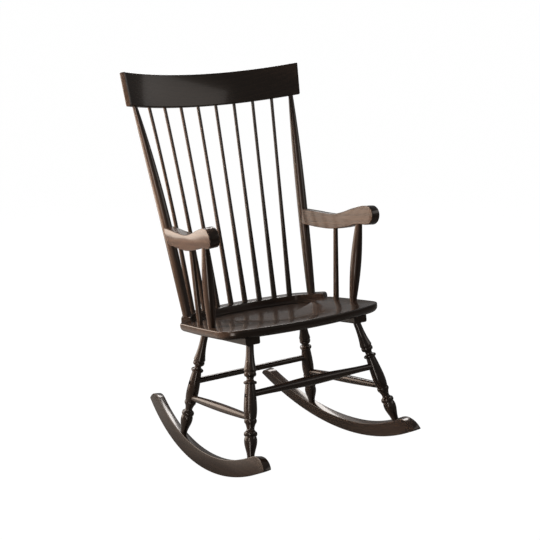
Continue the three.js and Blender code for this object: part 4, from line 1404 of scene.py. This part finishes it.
def steel_finish():
    """Blackened steel, a little uneven."""
    made = bpy.data.materials.get("blackened_steel")
    if made:
        return made
    finish = bpy.context.scene.chair_finish
    material, tree, shader = new_material("blackened_steel")
    coordinates = tree.nodes.new("ShaderNodeTexCoord").outputs["Object"]
    patches = noise(tree, stretched(tree, coordinates, 700, 700), 4.0)
    dark, light = (opaque([c * part for c in finish.steel]) for part in (0.6, 1.6))
    colour = mixed(tree, patches, dark, light)
    tree.links.new(colour, shader.inputs["Base Color"])
    rough = maths(tree, "ADD", maths(tree, "MULTIPLY", patches, 0.25), 0.25)
    tree.links.new(rough, shader.inputs["Roughness"])
    shader.inputs["Metallic"].default_value = 0.6
    return material


def dress(name, material):
    """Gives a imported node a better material."""
    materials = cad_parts[name].data.materials
    materials.clear()
    materials.append(material)


def dress_cleats():
    wood, steel = cleat_finish(), steel_finish()
    for side in SIDES:
        dress(f"leg_cleat_{side}", wood)
        for end in ("front", "rear"):
            dress(f"cleat_bolt_{end}_{side}", steel)


# Stage: floor, surroundings, lamps and camera

FLOOR_SIZE = 120
FLOOR_SEEN = (0.05, 0.05, 0.05, 1)  # the floor's own colour to the camera
FLOOR_LIFT = 0.993  # white added to it for the camera
FLOOR_GLOSS = 0.05  # what the gloss sees of it
PAINTED_GLOW_GLOSS = 0.55  # and more in a painted glowing patch beside the right rocker, seen only in reflections
PAINTED_GLOW_PLACE = {"Location": (0.95, -0.75, 0), "Scale": (1.5, 1.2, 1)}
ROOM_LIGHT = 0.09
ROOM_GLOSS = 0.06
CAMERA_AT = (-1.7013, -2.6759, 1.3959)
CAMERA_TURN = (math.radians(74.889), 0, math.radians(-32.5))
CAMERA_SENSOR = 36.0
CAMERA_LENS = 75.356
CAMERA_CLIP = (0.1, 60.0)


def floor_finish():
    """Floor that the camera sees as plain white, with no shadow left, and the gloss as dim, save a
    painted glowing patch beside the right rocker that shows only in reflections.
    """
    studio = bpy.context.scene.chair_studio
    material, tree, shader = new_material("pale_floor")
    tree.nodes.remove(shader)
    output = next(n for n in tree.nodes if n.type == "OUTPUT_MATERIAL")
    matt = node(tree, "ShaderNodeBsdfDiffuse", None, Color=opaque(studio.floor))
    rays = tree.nodes.new("ShaderNodeLightPath").outputs
    seen = rays["Is Camera Ray"]
    tree.links.new(mixed(tree, seen, opaque(studio.floor), FLOOR_SEEN), matt.inputs["Color"])
    strength = maths(tree, "MULTIPLY", seen, FLOOR_LIFT)
    coordinates = tree.nodes.new("ShaderNodeTexCoord").outputs["Object"]
    # A painted reflection: a glowing patch of floor beside the right rocker, which only the gloss
    # sees and which is warm there.
    beside = node(tree, "ShaderNodeMapping", None, Vector=coordinates, **PAINTED_GLOW_PLACE).outputs[0]
    patch = node(tree, "ShaderNodeTexGradient", {"gradient_type": "SPHERICAL"}, Vector=beside)
    lit = maths(tree, "MULTIPLY", patch.outputs["Fac"], PAINTED_GLOW_GLOSS)
    lit = maths(tree, "ADD", lit, FLOOR_GLOSS)
    strength = maths(tree, "ADD", strength, maths(tree, "MULTIPLY", rays["Is Glossy Ray"], lit))
    white = mixed(tree, seen, opaque(WARM), WHITE)
    lift = node(tree, "ShaderNodeEmission", None, Color=white, Strength=strength)
    both = node(tree, "ShaderNodeAddShader", None, _0=matt.outputs[0], _1=lift.outputs[0])
    tree.links.new(both.outputs[0], output.inputs[0])
    return material


def make_surroundings():
    """White to the camera, dim in the gloss, so that the dark finish keeps its depth."""
    world = bpy.data.worlds.new("studio")
    bpy.context.scene.world = world
    world.use_nodes = True
    tree = world.node_tree
    tree.nodes.clear()
    rays = tree.nodes.new("ShaderNodeLightPath").outputs
    sharp = maths(tree, "MAXIMUM", rays["Is Camera Ray"], rays["Is Transmission Ray"])
    gloss = maths(tree, "MULTIPLY", rays["Is Glossy Ray"], ROOM_GLOSS)
    strength = maths(tree, "MAXIMUM", sharp, maths(tree, "ADD", gloss, ROOM_LIGHT))
    background = node(tree, "ShaderNodeBackground", None, Color=WHITE, Strength=strength)
    output = tree.nodes.new("ShaderNodeOutputWorld")
    tree.links.new(background.outputs[0], output.inputs[0])


def make_lamp(name, at, towards, width, height, power, colour=(1, 1, 1)):
    """A soft box: a lit rectangle that the camera doesn't see."""
    bpy.ops.object.light_add(type="AREA", location=at)
    lamp = bpy.context.object
    lamp.name = name
    lamp.data.shape = "RECTANGLE"
    lamp.data.size = width
    lamp.data.size_y = height
    lamp.data.energy = power
    lamp.data.color = colour
    lamp.visible_camera = False
    lamp.rotation_euler = (Vector(towards) - Vector(at)).to_track_quat("-Z", "Y").to_euler()
    return lamp


def make_stage():
    studio = bpy.context.scene.chair_studio
    nothing_selected()
    bpy.ops.mesh.primitive_plane_add(size=FLOOR_SIZE)
    floor = bpy.context.object
    floor.name = "floor"
    floor.data.materials.append(floor_finish())
    make_surroundings()
    middle = (0, 0, 0.5)
    left = make_lamp("left_lamp", (-1.3, 0.5, 0.95), (-0.27, 0, 0.80), 0.8, 0.5, studio.key, WARM)
    left.data.spread = math.radians(55)
    left.visible_glossy = False
    side = make_lamp("side_lamp", (-1.2, 0.15, 0.32), (0, -0.05, 0.2), 0.7, 0.4, studio.side, WARM)
    side.visible_glossy = False
    make_lamp("high_lamp", (-1.6, 1.5, 1.7), middle, 1.2, 0.8, studio.high)
    rim = make_lamp("rim_lamp", (-1.30, 1.75, 0.62), middle, 2.3, 1.2, studio.rim, WARM)
    rim.visible_diffuse = False
    band = make_lamp("band_lamp", (-2.35, -1.3, 1.8), middle, 0.6, 1.4, studio.band)
    band.visible_diffuse = False
    low = make_lamp("low_lamp", (-0.90, -0.95, 0.25), (-0.15, -0.15, 0.25), 0.26, 0.46, studio.low)
    low.visible_diffuse = False
    make_lamp("top_lamp", (0.95, 2.05, 2.0), middle, 1.5, 0.8, studio.top)
    make_lamp("fill_lamp", (2.05, -1.65, 1.95), middle, 2.7, 0.9, studio.fill)
    make_lamp("back_lamp", (1.7, 2.7, 1.45), middle, 1.7, 0.8, studio.back)


def make_camera():
    """The photograph's viewing angle."""
    bpy.ops.object.camera_add(location=CAMERA_AT, rotation=CAMERA_TURN)
    camera = bpy.context.object
    camera.name = "camera"
    camera.data.sensor_width = CAMERA_SENSOR
    camera.data.lens = CAMERA_LENS
    camera.data.clip_start, camera.data.clip_end = CAMERA_CLIP
    bpy.context.scene.camera = camera
    bpy.context.scene.view_settings.view_transform = "Standard"


# The add-on

class MakeSeat(bpy.types.Operator):
    """Carve the saddled seat"""

    bl_idname = "chair.make_seat"
    bl_label = "Seat"

    def execute(self, context):
        make_seat()
        return {"FINISHED"}


class MakeRails(bpy.types.Operator):
    """Bend the back rail and the crest rail"""

    bl_idname = "chair.make_rails"
    bl_label = "Rails"

    def execute(self, context):
        make_rail()
        make_crest()
        return {"FINISHED"}


class MakeBackSticks(bpy.types.Operator):
    """Turn the back's posts and spindles"""

    bl_idname = "chair.make_back_sticks"
    bl_label = "Back posts and spindles"

    def execute(self, context):
        make_back_sticks()
        return {"FINISHED"}


class MakeArms(bpy.types.Operator):
    """Saw the arms and turn what carries them"""

    bl_idname = "chair.make_arms"
    bl_label = "Arms"

    def execute(self, context):
        make_arms()
        make_arm_supports()
        return {"FINISHED"}


class MakeLegs(bpy.types.Operator):
    """Turn the legs and stretchers"""

    bl_idname = "chair.make_legs"
    bl_label = "Legs and stretchers"

    def execute(self, context):
        make_legs()
        make_stretchers()
        return {"FINISHED"}


class MakeRockers(bpy.types.Operator):
    """Saw the rockers"""

    bl_idname = "chair.make_rockers"
    bl_label = "Rockers"

    def execute(self, context):
        make_rockers()
        return {"FINISHED"}


class MakeFasteners(bpy.types.Operator):
    """Place the screws and bolts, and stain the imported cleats"""

    bl_idname = "chair.make_fasteners"
    bl_label = "Fasteners and cleats"

    def execute(self, context):
        make_fasteners()
        dress_cleats()
        return {"FINISHED"}


class MakeStage(bpy.types.Operator):
    """Set up the floor, the lamps and the camera"""

    bl_idname = "chair.make_stage"
    bl_label = "Stage"

    def execute(self, context):
        make_stage()
        make_camera()
        return {"FINISHED"}


OPERATORS = (
    MakeSeat, MakeRails, MakeBackSticks, MakeArms, MakeLegs, MakeRockers, MakeFasteners, MakeStage
)
GROUPS = {
    "chair_seat": SeatSizes,
    "chair_back": BackSizes,
    "chair_arms": ArmSizes,
    "chair_sides": SideSizes,
    "chair_finish": Finish,
    "chair_studio": Studio,
}


class ChairPanel(bpy.types.Panel):
    """Sizes, colours and makers of the chair"""

    bl_idname = "VIEW3D_PT_chair"
    bl_label = "Boston Rocking Chair"
    bl_space_type = "VIEW_3D"
    bl_region_type = "UI"
    bl_category = "Chair"

    def draw(self, context):
        for operator in OPERATORS:
            self.layout.operator(operator.bl_idname)
        for key in GROUPS:
            box = self.layout.box()
            settings = getattr(context.scene, key)
            for field in settings.__annotations__:
                box.prop(settings, field)


def register():
    for group in GROUPS.values():
        bpy.utils.register_class(group)
    for key, group in GROUPS.items():
        setattr(bpy.types.Scene, key, bpy.props.PointerProperty(type=group))
    for operator in OPERATORS:
        bpy.utils.register_class(operator)
    bpy.utils.register_class(ChairPanel)


def unregister():
    bpy.utils.unregister_class(ChairPanel)
    for operator in reversed(OPERATORS):
        bpy.utils.unregister_class(operator)
    for key in GROUPS:
        delattr(bpy.types.Scene, key)
    for group in reversed(list(GROUPS.values())):
        bpy.utils.unregister_class(group)


def main():
    register()
    for operator in OPERATORS:
        area, name = operator.bl_idname.split(".")
        getattr(getattr(bpy.ops, area), name)()


if __name__ == "__main__":
    main()
